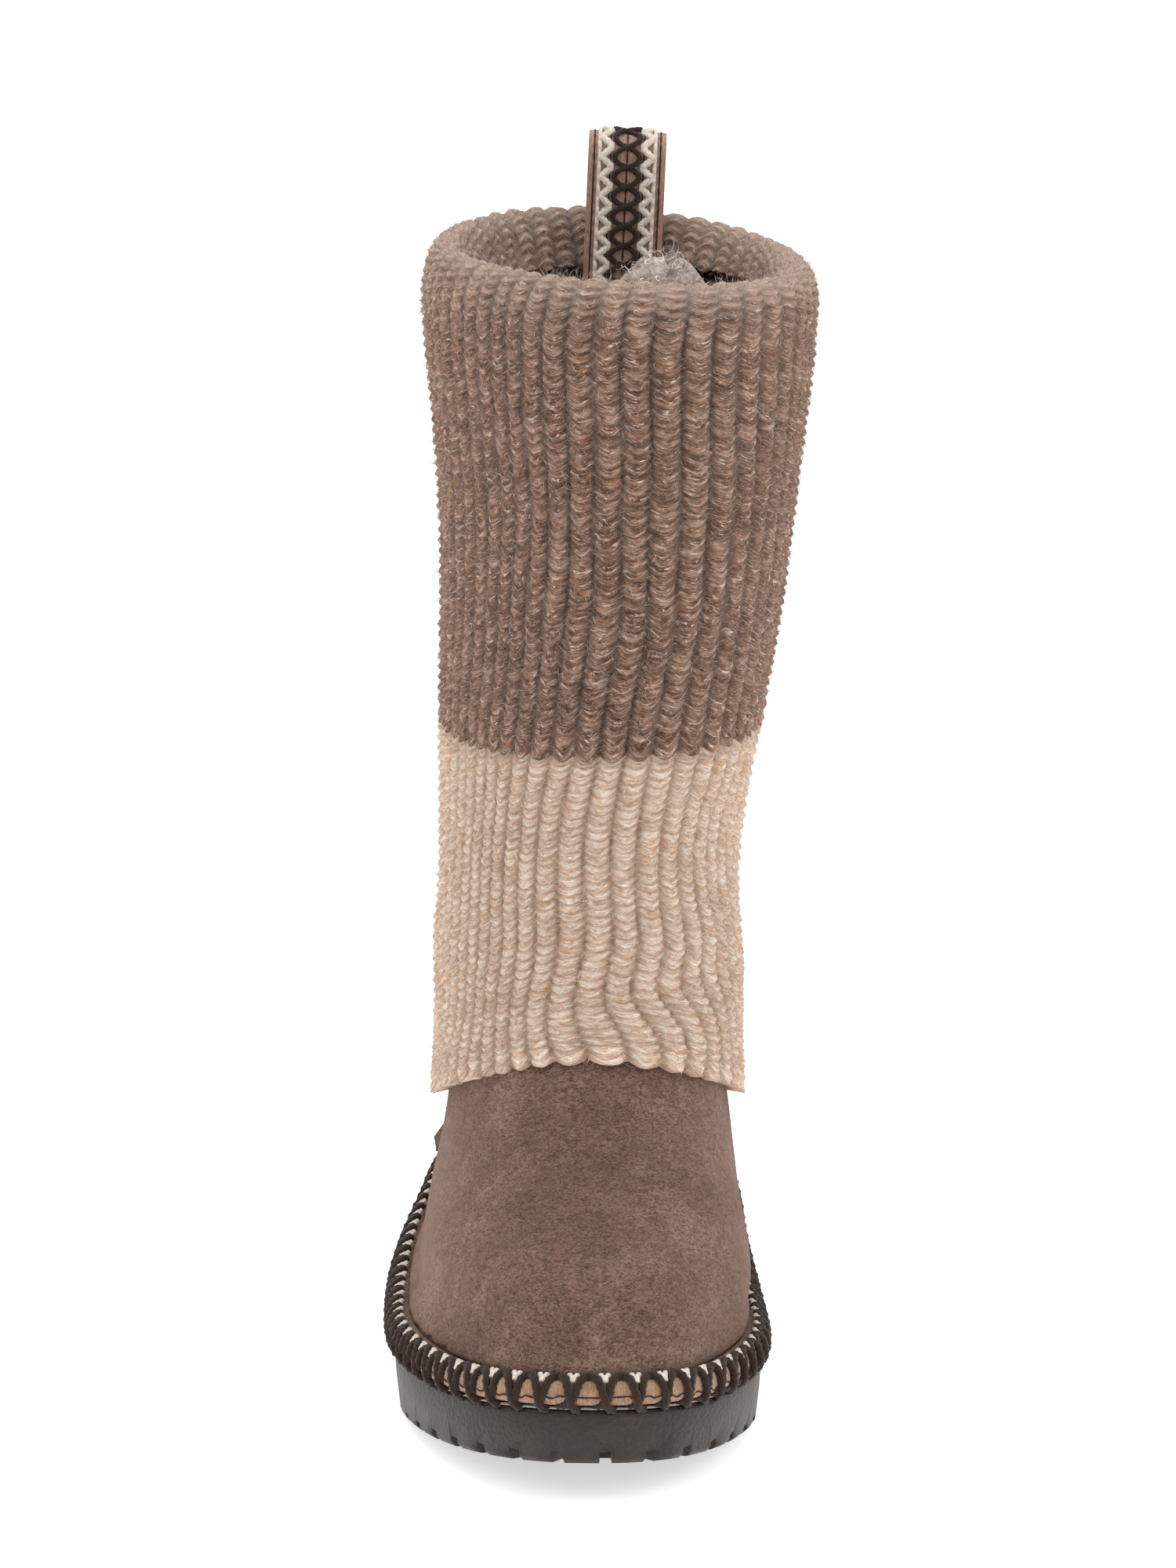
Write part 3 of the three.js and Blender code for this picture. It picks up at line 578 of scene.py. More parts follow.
def knit_relief(rings, row_zero, seed):
    """How far each point stands out, its shade from 0 in a gutter to 1 on a stitch, and its rib and row."""
    rows = len(rings)
    around = np.tile(column_places, (rows, 1))
    depth, push = fold_sums(around, rings[:, :, 2])
    rib_place = rib_numbers + push + soft_noise(rings, *RIB_WANDER, seed)
    across = np.abs((rib_place % 1.0) - 0.5) * 2
    crown = np.clip(np.cos(across * math.pi / 2), 0, 1) ** RIB_ROUNDNESS
    row_place = row_zero + np.arange(rows)[:, None] * ROW_STEP / STITCH_HEIGHT
    # Neighbouring ribs are half a row apart, which brings out the weave.
    row_place = row_place + soft_noise(rings, *ROW_WANDER, seed + 5) + 0.5 * (np.floor(rib_place) % 2)
    cup_line = row_place - CUP_HANG * across**CUP_CURVE
    cup = (0.5 + 0.5 * np.cos(cup_line * math.tau)) ** CUP_ROUNDNESS
    calm = 1 - RIM_CALM * np.clip((rings[:, :, 2] - ROLL_START) / RIM_FADE, 0, 1)
    gutter = GUTTER_SHARE * np.interp(around, steps_round, rib_widths) * calm
    cup_share = CUP_IN_GUTTER + (1 - CUP_IN_GUTTER) * crown
    out = -gutter * (1 - crown) + CUP_DEPTH * calm * (cup - 1) * cup_share
    out += soft_noise(rings, *SURFACE_LUMPS, seed + 9) - depth - SINK
    out = np.maximum(out, -DEEPEST)
    shade = crown * (ROW_SHADE + (1 - ROW_SHADE) * cup)
    return out, shade, np.stack([rib_place, cup_line], axis=2)


def closed_tube(rings, relief, normals):
    """The outer grid with its relief, then a plain inner wall back to the start, as one run of rings."""
    outer = rings + normals * relief[:, :, None]
    picks = np.linspace(len(rings) - 1, 0, INNER_ROWS).round().astype(int)
    inner = rings[picks] - normals[picks] * WALL_THICKNESS
    return np.vstack([outer, inner])


def rolled_sheet(name, rings, shade, stitches=None):
    """A flat grid rolled up into a closed ring with a wall. stitches gives its UV map, rib by row."""
    rows, columns = rings.shape[:2]
    shape = bmesh.new()
    uv_map = shape.loops.layers.uv.new("knit")
    shade_layer = shape.verts.layers.float.new("height")
    bmesh.ops.create_grid(shape, x_segments=columns, y_segments=rows, size=0.5, calc_uvs=True)
    for face in shape.faces:
        for corner in face.loops:
            across, along = round(corner[uv_map].uv.x * columns), round(corner[uv_map].uv.y * rows)
            if stitches is not None and along < len(stitches):
                rib, row = stitches[along, across % columns]
                corner[uv_map].uv = (rib + (RIBS if across == columns else 0), row)
    for vert in shape.verts:
        across = round((vert.co.x + 0.5) * columns) % columns
        along = round((vert.co.y + 0.5) * rows) % rows
        vert.co = rings[along, across]
        # Painted shade: the plain inner wall takes the low shade INNER_SHADE, so the yarn paints it darker.
        vert[shade_layer] = shade[along, across] if along < len(shade) else INNER_SHADE
    bmesh.ops.remove_doubles(shape, verts=shape.verts, dist=GRID_MERGE)
    return bmesh_piece(name, shape)


# %% The two zones of knit
UPPER_ROWS = len(upper_rings)
LOWER_ROWS = len(lower_rings)
upper_normals = grid_normals(upper_rings)
lower_normals = grid_normals(lower_rings)
lower_relief, lower_shade, lower_stitches = knit_relief(lower_rings, 0.0, 3.0)
first_row = LOWER_ROWS * ROW_STEP / STITCH_HEIGHT
upper_relief, upper_shade, upper_stitches = knit_relief(upper_rings, first_row, 3.0)


def lips(rings, stitches, edge):
    """How far each point hangs down near an edge row, where every rib ends in a small rounded lip."""
    fade = np.clip(1 - np.abs(np.arange(len(rings)) - edge) / HEM_ROWS, 0, 1)[:, None]
    return fade * np.abs(np.sin(math.pi * stitches[edge, :, 0]))[None, :]


hem_lips = lips(lower_rings, lower_stitches, 0)
lower_rings[:, :, 2] -= HEM_DROP * (hem_lips + lips(lower_rings, lower_stitches, LOWER_ROWS - 1))
upper_rings[:, :, 2] -= HEM_DROP * lips(upper_rings, upper_stitches, 0)
lower_relief += HEM_SWELL * hem_lips
lower_tube = closed_tube(lower_rings, lower_relief, lower_normals)
upper_tube = closed_tube(upper_rings, upper_relief, upper_normals)
knit_below = rolled_sheet("knit_oatmeal", lower_tube, lower_shade, lower_stitches)
knit_above = rolled_sheet("knit_brown", upper_tube, upper_shade, upper_stitches)
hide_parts("knit_sleeve")
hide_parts("knit_sleeve")
for piece in (knit_below, knit_above):
    print(piece.name, len(piece.data.polygons) * 2, "triangles")
# Painted light: the upward-facing top of the rolled rim is painted paler, as light from above would make it,
# and the yarn's finish turns it towards the pale fleck colour there.
rim_top_light = knit_above.data.attributes.new("rim_top_light", "FLOAT", "POINT")
for vert, value in zip(knit_above.data.vertices, rim_top_light.data):
    value.value = max(vert.normal.z, 0) * min(max((vert.co.z - ROLL_START) / RIM_FADE, 0), 1)

# %% [markdown]
# ## Loose fibres
# Wool yarn and fleece both have fibres that leave the surface. Each fibre is a narrow strip of a few
# faces that tapers and bends, and thousands of them are joined in one mesh. That gives the soft outline that
# a bare surface can't have. The strips start at random points of the finer surface, always the same ones.


# %% Fibres as joined strips
# The shortest and the longest fibre as shares of the length asked for, a tip's share of the width, and
# how many turns a strip makes from root to tip.
LENGTH_SHARES = (0.55, 1.25)
TIP_SHARE = 0.2
TURNS = 1.5


def pile(name, roots, normals, length, width, lean, bend, segments, seed, coil=0.0):
    """Strips from roots: lean tips them over, bend curves them, and coil winds them into curls."""
    draw = np.random.default_rng(seed)
    count = len(roots)
    ways = unit(normals + lean * unit(draw.normal(size=(count, 3))))
    bends = unit(draw.normal(size=(count, 3))) * bend
    sides = unit(np.cross(ways, draw.normal(size=(count, 3))))
    across = np.cross(ways, sides)
    lengths = length * draw.uniform(*LENGTH_SHARES, size=(count, 1))
    phase = draw.uniform(0, math.tau, size=(count, 1))
    verts = np.zeros((count, segments + 1, 2, 3))
    for k in range(segments + 1):
        share = k / segments
        angle = phase + TURNS * math.tau * share
        curl = (np.cos(angle) - np.cos(phase)) * sides + (np.sin(angle) - np.sin(phase)) * across
        centre = roots + lengths * (ways * share + bends * share**2) + coil * curl
        half = width / 2 * max(TIP_SHARE, 1 - share**2)
        turned = sides * np.cos(angle * 0.5) + across * np.sin(angle * 0.5)
        verts[:, k, 0] = centre - turned * half
        verts[:, k, 1] = centre + turned * half
    first = np.arange(count)[:, None] * (segments + 1) * 2 + np.arange(segments) * 2
    faces = np.stack([first, first + 1, first + 3, first + 2], axis=2).reshape(-1, 4)
    mesh = bpy.data.meshes.new(name)
    mesh.from_pydata(verts.reshape(-1, 3).tolist(), [], faces.tolist())
    tone = mesh.attributes.new("tone", "FLOAT", "POINT")
    tone.data.foreach_set("value", np.repeat(draw.uniform(size=count), (segments + 1) * 2))
    return add_piece(name, mesh)


def scatter(rings, normals, count, seed):
    """Random points on a grid of rings, and the directions out of it there."""
    draw = np.random.default_rng(seed)
    rows, columns = rings.shape[:2]
    row = draw.integers(0, rows - 1, count)
    column = draw.integers(0, columns, count)
    share = draw.uniform(size=(count, 1))
    spread = draw.uniform(size=(count, 1))
    near = rings[row, column] * (1 - share) + rings[row + 1, column] * share
    beside = rings[row, (column + 1) % columns] - rings[row, column]
    return near + beside * spread, normals[row, column]


# %% Fuzz and loose flecks on the knit
# Count above and below, length, width, how far they tip over, and how much they bend.
FUZZ = (36000, 25000, 0.0028, 0.00008, 1.0, 0.9)
FLECKS = (14000, 10000, 0.0020, 0.00019, 7.0, 0.8)
FIBRE_SEGMENTS = 2
upper_face = upper_tube[:UPPER_ROWS]
lower_face = lower_tube[:LOWER_ROWS]


def two_piles(name, kind, seed):
    """The same sort of fibre on both zones."""
    above, below, length, width, lean, bend = kind
    made = []
    for zone, face, count in (("brown", upper_face, above), ("oatmeal", lower_face, below)):
        spots = scatter(face, grid_normals(face), count, seed)
        made.append(pile(f"{name}_{zone}", *spots, length, width, lean, bend, FIBRE_SEGMENTS, seed + 1))
        seed += 2
    return made


fuzz_above, fuzz_below = two_piles("knit_fuzz", FUZZ, 11)
flecks_above, flecks_below = two_piles("knit_flecks", FLECKS, 41)
print("fibres:", FUZZ[0] + FUZZ[1] + FLECKS[0] + FLECKS[1])

# %% [markdown]
# ## Marl yarn
# Each zone is knitted from one soft yarn with flecks of other colours. The pattern follows the UV map of the
# rolled sheet: one unit across is a rib and one along is a row, so a fleck is as big as a stitch, and finer
# streaks lie along the yarn. The gutters are painted a little darker, as painted shade where the pile hides
# them from the light, and the upward-facing top of the rolled rim is painted paler, as painted light from
# above.

# %% Yarn finishes
# Four noises from blotches to hairs: scale by ribs and rows, detail, roughness, distortion.
YARN_NOISES = [
    ((0.5, 0.3, 1), 3, 0.6, 0.4),
    ((1.3, 0.9, 1), 3, 0.7, 0.6),
    ((2.4, 4.5, 1), 3, 0.7, 0.8),
    ((1.6, 11.0, 1), 2, 0.7, 0.4),
]
YARN_SHARES = (0.15, 0.35, 0.25, 0.25)
# Warm and pale flecks: scale by ribs and rows, and a shift that keeps the two kinds apart.
FLECK_PLACES = [((1.9, 2.4, 1), 3.0), ((2.1, 3.6, 1), 9.0)]
FLECK_EDGE = 0.09
RIM_LIGHT_SHARE = 0.65


def yarn(name, deep, ground, warm, pale):
    """A marl: a ground of three tones, with warm and pale flecks, each a colour and where it starts."""
    finish = Finish(name, roughness=0.9, sheen=0.55, sheen_roughness=0.45, specular=0.1)
    finish.shader.inputs["Sheen Tint"].default_value = linear((240, 208, 186))
    noises = [finish.noise(finish.place(scale, uv="knit"), 1.0, *kind) for scale, *kind in YARN_NOISES]
    _, stitch, strand, hair = noises
    tone = finish.sum(*zip(noises, YARN_SHARES))
    base = finish.ramp(tone, [(0.43, ground[0]), (0.5, ground[1]), (0.57, ground[2])])
    for (colour, start), (scale, shift) in zip((warm, pale), FLECK_PLACES):
        where = finish.place(scale, uv="knit")
        where.node.inputs["Location"].default_value = (shift, shift * 2, 0)
        fleck = finish.span(finish.noise(where, 1.0, 2, 0.6, 1.5), start, start + FLECK_EDGE)
        base = finish.blend(fleck, base, colour)
    # Painted shade: where the knit's shade (the "height" attribute) is low, in the gutters, along each row's
    # lower edge and on the plain inner wall, the colour turns towards the dark deep colour.
    open_part = finish.span(finish.attribute("height"), 0.10, 0.60)
    marl = finish.blend(open_part, finish.blend(tone, deep, ground[0]), base)
    # Painted light: the rim's upward-facing top is blended towards the pale fleck colour.
    rim_light_mix = finish.span(finish.attribute("rim_top_light"), 0, 1, 0, RIM_LIGHT_SHARE)
    finish.colour(finish.blend(rim_light_mix, marl, pale[0]))
    finish.bump(finish.sum((hair, 0.8), (strand, 0.7), (stitch, 0.5)), 0.0018, 0.9)
    return finish


def fibre_finish(name, stops):
    finish = Finish(name, roughness=0.9, sheen=0.2, specular=0.2)
    finish.colour(finish.ramp(finish.attribute("tone"), stops))
    return finish


BROWN_GROUND = [(58, 38, 27), (114, 83, 66), (184, 152, 133)]
OATMEAL_GROUND = [(190, 158, 134), (236, 208, 188), (253, 238, 224)]
BROWN_TONES = [
    (0.0, (104, 80, 66)),
    (0.3, (148, 120, 103)),
    (0.55, (170, 128, 98)),
    (0.75, (200, 176, 160)),
    (1.0, (240, 228, 216)),
]
OATMEAL_TONES = [
    (0.0, (204, 170, 142)),
    (0.3, (220, 176, 134)),
    (0.5, (230, 208, 190)),
    (1.0, (253, 247, 240)),
]
BROWN_FLECKS = [((160, 108, 72), 0.56), ((226, 204, 188), 0.58)]
OATMEAL_FLECKS = [((226, 170, 118), 0.56), ((254, 248, 240), 0.57)]
brown = yarn("marl_brown", (26, 16, 11), BROWN_GROUND, *BROWN_FLECKS)
oatmeal = yarn("marl_oatmeal", (150, 114, 88), OATMEAL_GROUND, *OATMEAL_FLECKS)
brown.on(knit_above)
oatmeal.on(knit_below)
fibre_finish("fuzz_brown", BROWN_TONES).on(fuzz_above, flecks_above)
fibre_finish("fuzz_oatmeal", OATMEAL_TONES).on(fuzz_below, flecks_below)
print("yarn finishes:", brown.material.name, "and", oatmeal.material.name)

# %% [markdown]
# ## Suede foot and shaft
# The upper is a soft microfibre with a very short nap. A smooth copy of the model's upper keeps the last's
# form, and a few wide, shallow hollows are pressed in where the empty foot gives way. Just above
# the ribbon the real suede bulges over it, so the wall swells there, more the nearer the ribbon is. The nap
# shows as broad soft patches, where it has been brushed one way or the other, and as a fine grain.

# %% Suede upper
# Hollows in the foot: centre, reach and depth in metres. A depth below zero is a swelling.
HOLLOWS = [
    ((0.030, -0.090, 0.062), 0.020, 0.0008),
    ((0.034, -0.070, 0.062), 0.012, -0.0005),
    ((0.038, -0.098, 0.050), 0.009, 0.0006),
    ((-0.034, -0.060, 0.072), 0.024, 0.0008),
    ((-0.006, -0.030, 0.092), 0.030, 0.0009),
    ((-0.044, -0.020, 0.062), 0.022, 0.0008),
    ((0.036, -0.010, 0.066), 0.024, 0.0009),
    ((-0.012, -0.100, 0.068), 0.022, -0.0004),
    ((-0.040, 0.110, 0.050), 0.018, 0.0007),
    ((0.026, 0.110, 0.052), 0.018, 0.0007),
]
# A hollow has faded out this many reaches from its centre.
HOLLOW_END = 2.5


def press(piece, hollows):
    """Moves a surface in along its normals near each hollow."""
    mesh = piece.data
    normals = [v.normal.copy() for v in mesh.vertices]
    for vert, normal in zip(mesh.vertices, normals):
        for centre, reach, depth in hollows:
            away = (vert.co - Vector(centre)).length / reach
            if away < HOLLOW_END:
                vert.co -= normal * depth * math.exp(-away * away)


LIP_REACH = 0.0065
LIP_SWELL = 0.0020
LIP_TOP = 0.055
FOOT_CENTRE = Vector((-0.008, 0.0, 0.0))


def swell_over_ribbon(piece, ribbon_shape):
    """Lets the outer wall stand out just above the ribbon."""
    points = KDTree(len(ribbon_shape.verts))
    for vert in ribbon_shape.verts:
        points.insert(vert.co, vert.index)
    points.balance()
    normals = [vert.normal.copy() for vert in piece.data.vertices]
    for vert, normal in zip(piece.data.vertices, normals):
        outward = Vector((normal.x, normal.y, 0))
        if vert.co.z > LIP_TOP or outward.dot(vert.co - FOOT_CENTRE) < 0:
            continue
        near, _, away = points.find(vert.co)
        if away < LIP_REACH and vert.co.z > near.z:
            vert.co += outward * LIP_SWELL * (1 - (away / LIP_REACH) ** 2)


suede = smooth_copy("upper", 2, "suede_upper")
press(suede, HOLLOWS)
ribbon_shape = squared_shape("embroidered_band")
bmesh.ops.subdivide_edges(ribbon_shape, edges=ribbon_shape.edges, cuts=2, use_grid_fill=True)
ribbon_shape.verts.index_update()
swell_over_ribbon(suede, ribbon_shape)
ribbon_shape.free()
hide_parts("upper")

nap = Finish("suede_nap", roughness=0.88, sheen=0.3, sheen_roughness=0.4, specular=0.15)
nap.shader.inputs["Sheen Tint"].default_value = linear((236, 200, 180))
where = nap.place()
patches = nap.noise(where, 32, 3, 0.5, 0.6)
strokes = nap.noise(where, 110, 3, 0.6, 1.2)
grain = nap.noise(nap.place((1.0, 1.0, 2.2)), 1300, 3, 0.75)
tuft = nap.noise(nap.place((1.0, 1.0, 1.8)), 560, 3, 0.7, 1.2)
mottle = nap.sum((patches, 0.55), (strokes, 0.30), (tuft, 0.15))
ground = nap.ramp(mottle, [(0.36, (99, 75, 65)), (0.5, (117, 91, 79)), (0.64, (139, 111, 99))])
speck = nap.ramp(nap.sum((grain, 0.5), (tuft, 0.5)), [(0.43, (160, 160, 160)), (0.57, (255, 255, 255))])
nap.colour(nap.blend(1.0, ground, speck, "MULTIPLY"))
nap.bump(nap.sum((grain, 0.7), (tuft, 0.6), (strokes, 0.5)), 0.0008, 0.6)
nap.on(suede)
print("suede", len(suede.data.polygons) * 2, "triangles")

# %% [markdown]
# ## Sole and felt
# The sole is one moulded block, so the model's own form is right. Its copy only gets merged corners and
# smooth shading up to an angle, and a finish with a fine pebble. The felt is a thin strip that peeps out
# between sole and ribbon. Its edge is cut and a little hairy, which a noise and a bump are enough for.

# %% Sole
SHARP_ANGLE = math.radians(32)


def hard_copy(node, name):
    """A copy of a node whose flat faces stay flat, with merged corners."""
    piece = bmesh_piece(name, merged_shape(node))
    piece.data.set_sharp_from_angle(angle=SHARP_ANGLE)
    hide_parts(node)
    return piece


sole = hard_copy("outsole", "rubber_sole")
rubber = Finish("moulded_rubber", roughness=0.5, specular=0.32)
where = rubber.place()
pebble = rubber.cells(where, 900)
cloud = rubber.noise(where, 70, 4, 0.6)
grit = rubber.noise(where, 420, 3)
mottle = rubber.sum((cloud, 0.7), (pebble, 0.4))
rubber.colour(rubber.ramp(mottle, [(0.3, (27, 20, 16)), (0.75, (47, 37, 30))]))
rubber.bump(rubber.sum((pebble, 1.0), (grit, 0.7)), 0.0005, 0.55)
rubber.on(sole)
print("sole", len(sole.data.polygons), "faces")

# %% Felt strip
felt_strip = smooth_copy("felt_edge", 1, "felt_strip")
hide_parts("felt_edge")
FELT_STOPS = [(0.3, (150, 138, 128)), (0.7, (216, 206, 196))]
FELT_SURFACE = {"roughness": 0.95, "sheen": 0.3, "specular": 0.1}
felt = one_noise("pale_felt", (900, 4, 0.7, 2.0), FELT_STOPS, (0.0006, 0.8), **FELT_SURFACE)
felt.on(felt_strip)
print("felt", len(felt_strip.data.polygons), "faces")

# %% [markdown]
# ## Grids for embroidery
# The threads of the embroidery are laid by two numbers: how far along the ribbon and how far across it.
# Rays find the ribbon's face at many places, and a point between them is mixed from its neighbours. Each
# motif is then a short list of points, given as a chart, and the same chart serves the whole length.


# %% A face addressed by two shares
class Face:
    """A grid of points on a face. A thread asks for a point by shares along and across, and a lift off it."""

    def __init__(self, rings, closed):
        self.rings = rings
        self.closed = closed
        slopes = [np.gradient(rings, axis=k) for k in (0, 1)]
        self.normals = grid_normals(rings) if closed else unit(np.cross(*slopes))
        self.length = steps_along(rings[len(rings) // 2]).sum()
        self.height = steps_along(rings[:, rings.shape[1] // 2]).sum()

    def mixed(self, table, along, across):
        rows, columns = table.shape[:2]
        x = along * columns if self.closed else min(max(along, 0), 1) * (columns - 1)
        y = min(max(across, 0.0), 1.0) * (rows - 1)
        x0, y0 = math.floor(x), min(math.floor(y), rows - 2)
        fx, fy = x - x0, y - y0
        x1 = (x0 + 1) % columns if self.closed else min(x0 + 1, columns - 1)
        x0 = x0 % columns if self.closed else x0
        low = table[y0, x0] * (1 - fx) + table[y0, x1] * fx
        high = table[y0 + 1, x0] * (1 - fx) + table[y0 + 1, x1] * fx
        return low * (1 - fy) + high * fy

    def point(self, along, across, lift):
        return self.mixed(self.rings, along, across) + self.mixed(self.normals, along, across) * lift


def threads(name, lines, radius, sides=3, ply=0.0):
    """Round threads along lines of points. ply makes the thickness swell and shrink, as in a twisted yarn."""
    curve = bpy.data.curves.new(name, "CURVE")
    curve.dimensions = "3D"
    curve.bevel_depth = radius
    curve.bevel_resolution = sides - 2
    curve.use_fill_caps = True
    for line in lines:
        spline = curve.splines.new("POLY")
        spline.points.add(len(line) - 1)
        for k, (point, place) in enumerate(zip(spline.points, line)):
            point.co = (*place, 1)
            point.radius = 1 + (ply if k % 2 else -ply)
    holder = bpy.data.objects.new(name, curve)
    bpy.context.scene.collection.objects.link(holder)
    mesh = bpy.data.meshes.new_from_object(holder.evaluated_get(bpy.context.evaluated_depsgraph_get()))
    bpy.data.objects.remove(holder)
    return add_piece(name, mesh)


def soft_step(before, start, end, after, t):
    """A value between start and end on a smooth curve that also heeds the values on both sides of them."""
    slope = end - before
    bend = 2 * before - 5 * start + 4 * end - after
    twist = 3 * start - before - 3 * end + after
    return 0.5 * (2 * start + slope * t + bend * t**2 + twist * t**3)


def finer(chart, steps):
    """The chart's points with steps extra ones between, on a soft curve through them."""
    fine = []
    for i in range(len(chart) - 1):
        corners = [chart[min(max(i + k, 0), len(chart) - 1)] for k in (-1, 0, 1, 2)]
        for t in np.arange(steps) / steps:
            fine.append(tuple(soft_step(*values, t) for values in zip(*corners)))
    return fine + [chart[-1]]


# %% The ribbon's face round the foot
band_tree = tree_of("embroidered_band")
BAND_SAMPLES = 720
FACE_ROWS = 12
CROWN_CORE = 0.0030
CROWN_DEGREES = range(40, 112, 8)
CROWN_REACH = 0.03
BAND_HEIGHTS = np.arange(0.016, 0.046, 0.0004)
BAND_CENTRE = (-0.008, 0.0)
BAND_REACH = 0.2


def band_column(azimuth):
    """Points up the ribbon's outer face and over its crown, on one side of the foot."""
    outward = Vector((math.cos(azimuth), math.sin(azimuth), 0))
    hits = []
    for height in BAND_HEIGHTS:
        start = Vector((*BAND_CENTRE, height)) + outward * BAND_REACH
        hit = band_tree.ray_cast(start, -outward, BAND_REACH)[0]
        if hit:
            hits.append(hit)
    middle = hits[len(hits) // 2] - outward * CROWN_CORE
    over = fan(band_tree, middle, outward, CROWN_DEGREES, CROWN_REACH)
    return evenly([p for p in hits if p.z < over[0].z] + over, FACE_ROWS)


columns = [band_column(math.pi / 2 + math.tau * i / BAND_SAMPLES) for i in range(BAND_SAMPLES)]
band_rings = np.stack([evenly(ring, BAND_SAMPLES, closed=True) for ring in np.stack(columns, axis=1)])
band_face = Face(band_rings, closed=True)
print("ribbon", round(band_face.length, 3), "m round,", round(band_face.height * 1000, 1), "mm high")

# %% [markdown]
# ## The embroidered ribbon
# A tan ribbon with a thick dark thread in a row of arches, whose feet cross, and cream picots between the
# arches' heads. A thin dark row of stitches holds the ribbon on. It's a common folk ornament, so the chart
# below is a plain one: half an arch is six points, and each picot is two short threads that fork. The
# ribbon's top edge, which lies under the suede's bulge, takes the suede's finish.

# %% Ribbon and its threads
ARCH_WIDTH = 0.0090
DARK_RADIUS = 0.00122
CREAM_RADIUS = 0.00084
FINE_RADIUS = 0.00026
# How far the threads' middles lie off the cloth, and how far the crossing feet are set apart.
DARK_LIFT = 0.0006
CROSSING_LIFT = 0.0008
CREAM_LIFT = 0.0004
# Points of the charts: share of an arch's width from its middle, and share of the ribbon's height.
HALF_ARCH = [(-0.84, -0.03), (-0.65, 0.10), (-0.50, 0.27), (-0.40, 0.48), (-0.31, 0.71), (-0.15, 0.86)]
ARCH = HALF_ARCH + [(0.0, 0.90)] + [(-x, y) for x, y in reversed(HALF_ARCH)]
CHART_STEPS = 3
PICOTS = [[(0.50, 0.72), (0.44, 0.86), (0.36, 1.0)], [(0.50, 0.72), (0.56, 0.86), (0.64, 1.0)]]
ARCHES = round(band_face.length / ARCH_WIDTH)
DASH = 0.0016
DASH_LIFT = 0.00018
DASH_DIP = -0.00005
SEAM_PLACE = 0.36
TOP_EDGE_SLOPE = 0.8


def along_band(index, chart, lift, crossed=0.0):
    """A motif's chart as points on the ribbon. crossed lifts one foot and lowers the other."""
    line = []
    for x, y in chart:
        line.append(band_face.point((index + 0.5 + x) / ARCHES, y, lift + crossed * x))
    return line


ribbon = smooth_copy("embroidered_band", 2, "band_ribbon")
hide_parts("embroidered_band")
arch = finer(ARCH, CHART_STEPS)
picots_fine = [finer(picot, CHART_STEPS) for picot in PICOTS]
arch_lines = [along_band(i, arch, DARK_LIFT, CROSSING_LIFT) for i in range(ARCHES)]
picot_lines = [along_band(i, picot, CREAM_LIFT) for i in range(ARCHES) for picot in picots_fine]
dark_arches = threads("band_arches", arch_lines, DARK_RADIUS, ply=0.13)
cream_picots = threads("band_picots", picot_lines, CREAM_RADIUS, ply=0.1)


def stitch_line(face, across, lift, dip):
    """A row of stitches along a face that dips into the cloth between dashes."""
    steps = round(face.length / DASH) * 2
    return [face.point(i / steps, across, lift if i % 4 in (1, 2) else dip) for i in range(steps + 1)]


seam_line = stitch_line(band_face, SEAM_PLACE, DASH_LIFT, DASH_DIP)
band_seam = threads("band_stitches", [seam_line], FINE_RADIUS)
print("arches", ARCHES)

# %% Thread finishes
def thread_finish(name, low, high, sheen=0.3):
    stops = [(0.3, low), (0.7, high)]
    surface = {"roughness": 0.8, "sheen": sheen, "specular": 0.2}
    return one_noise(name, (1400, 3, 0.7, 1.0), stops, (0.0004, 0.7), **surface)


dark_thread = thread_finish("thread_dark", (24, 14, 9), (56, 38, 28), sheen=0.1)
cream_thread = thread_finish("thread_cream", (176, 160, 145), (232, 222, 210))
GROUND_STOPS = [(0.3, (120, 90, 70)), (0.7, (168, 134, 108))]
GROUND_SURFACE = {"stretch": (1, 1, 0.35), "roughness": 0.85, "sheen": 0.25, "specular": 0.2}
ground_cloth = one_noise("ribbon_ground", (1500, 3, 0.7), GROUND_STOPS, (0.0005, 0.7), **GROUND_SURFACE)
ground_cloth.on(ribbon)
ribbon.data.materials.append(nap.material)
for polygon in ribbon.data.polygons:
    polygon.material_index = 1 if polygon.normal.z > TOP_EDGE_SLOPE else 0
dark_thread.on(dark_arches, band_seam)
cream_thread.on(cream_picots)
print("thread finishes:", dark_thread.material.name, "and", cream_thread.material.name)

# %% [markdown]
# ## The pull loop
# The loop is a strap folded double, in the same cloth as the foot, with the same kind of ribbon sewn on its
# outer face. Rays from the front, over the top and from the back find that face. Two dark threads swing
# against each other and make a chain of ovals. Cream threads zigzag beside it and fine rows edge it all.

# %% The strap's face
loop_tree = tree_of("pull_loop", 0)
loop_low, loop_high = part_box("pull_loop")
STRAP_HALF = 0.0110
STRAP_STEPS = 13
STRAP_FULL = 0.0115
STRAP_LEAN = 0.045
STRAP_ROWS = 120
ARC_BELOW_TOP = 0.0085
TOP_DEGREES = range(8, 180, 8)
TOP_REACH = 0.05
# Where the face starts in front and ends behind, above the loop's lowest point, and the points on each side.
FRONT_START = 0.002
BACK_END = 0.030
FRONT_POINTS = 30
BACK_POINTS = 20
# From where in depth the rays set out, well before and well behind the loop.
BEFORE_LOOP = -0.2
BEHIND_LOOP = 0.4
FORWARD = Vector((0, 1, 0))


def strap_hit(offset, height, forward=True):
    """The strap's outer face at a height, from the front or from behind. It leans a little sideways."""
    x = loop_low.x + STRAP_FULL + STRAP_LEAN * (height - loop_low.z) + offset
    start = Vector((x, BEFORE_LOOP if forward else BEHIND_LOOP, height))
    return loop_tree.ray_cast(start, FORWARD if forward else -FORWARD, 1)[0]


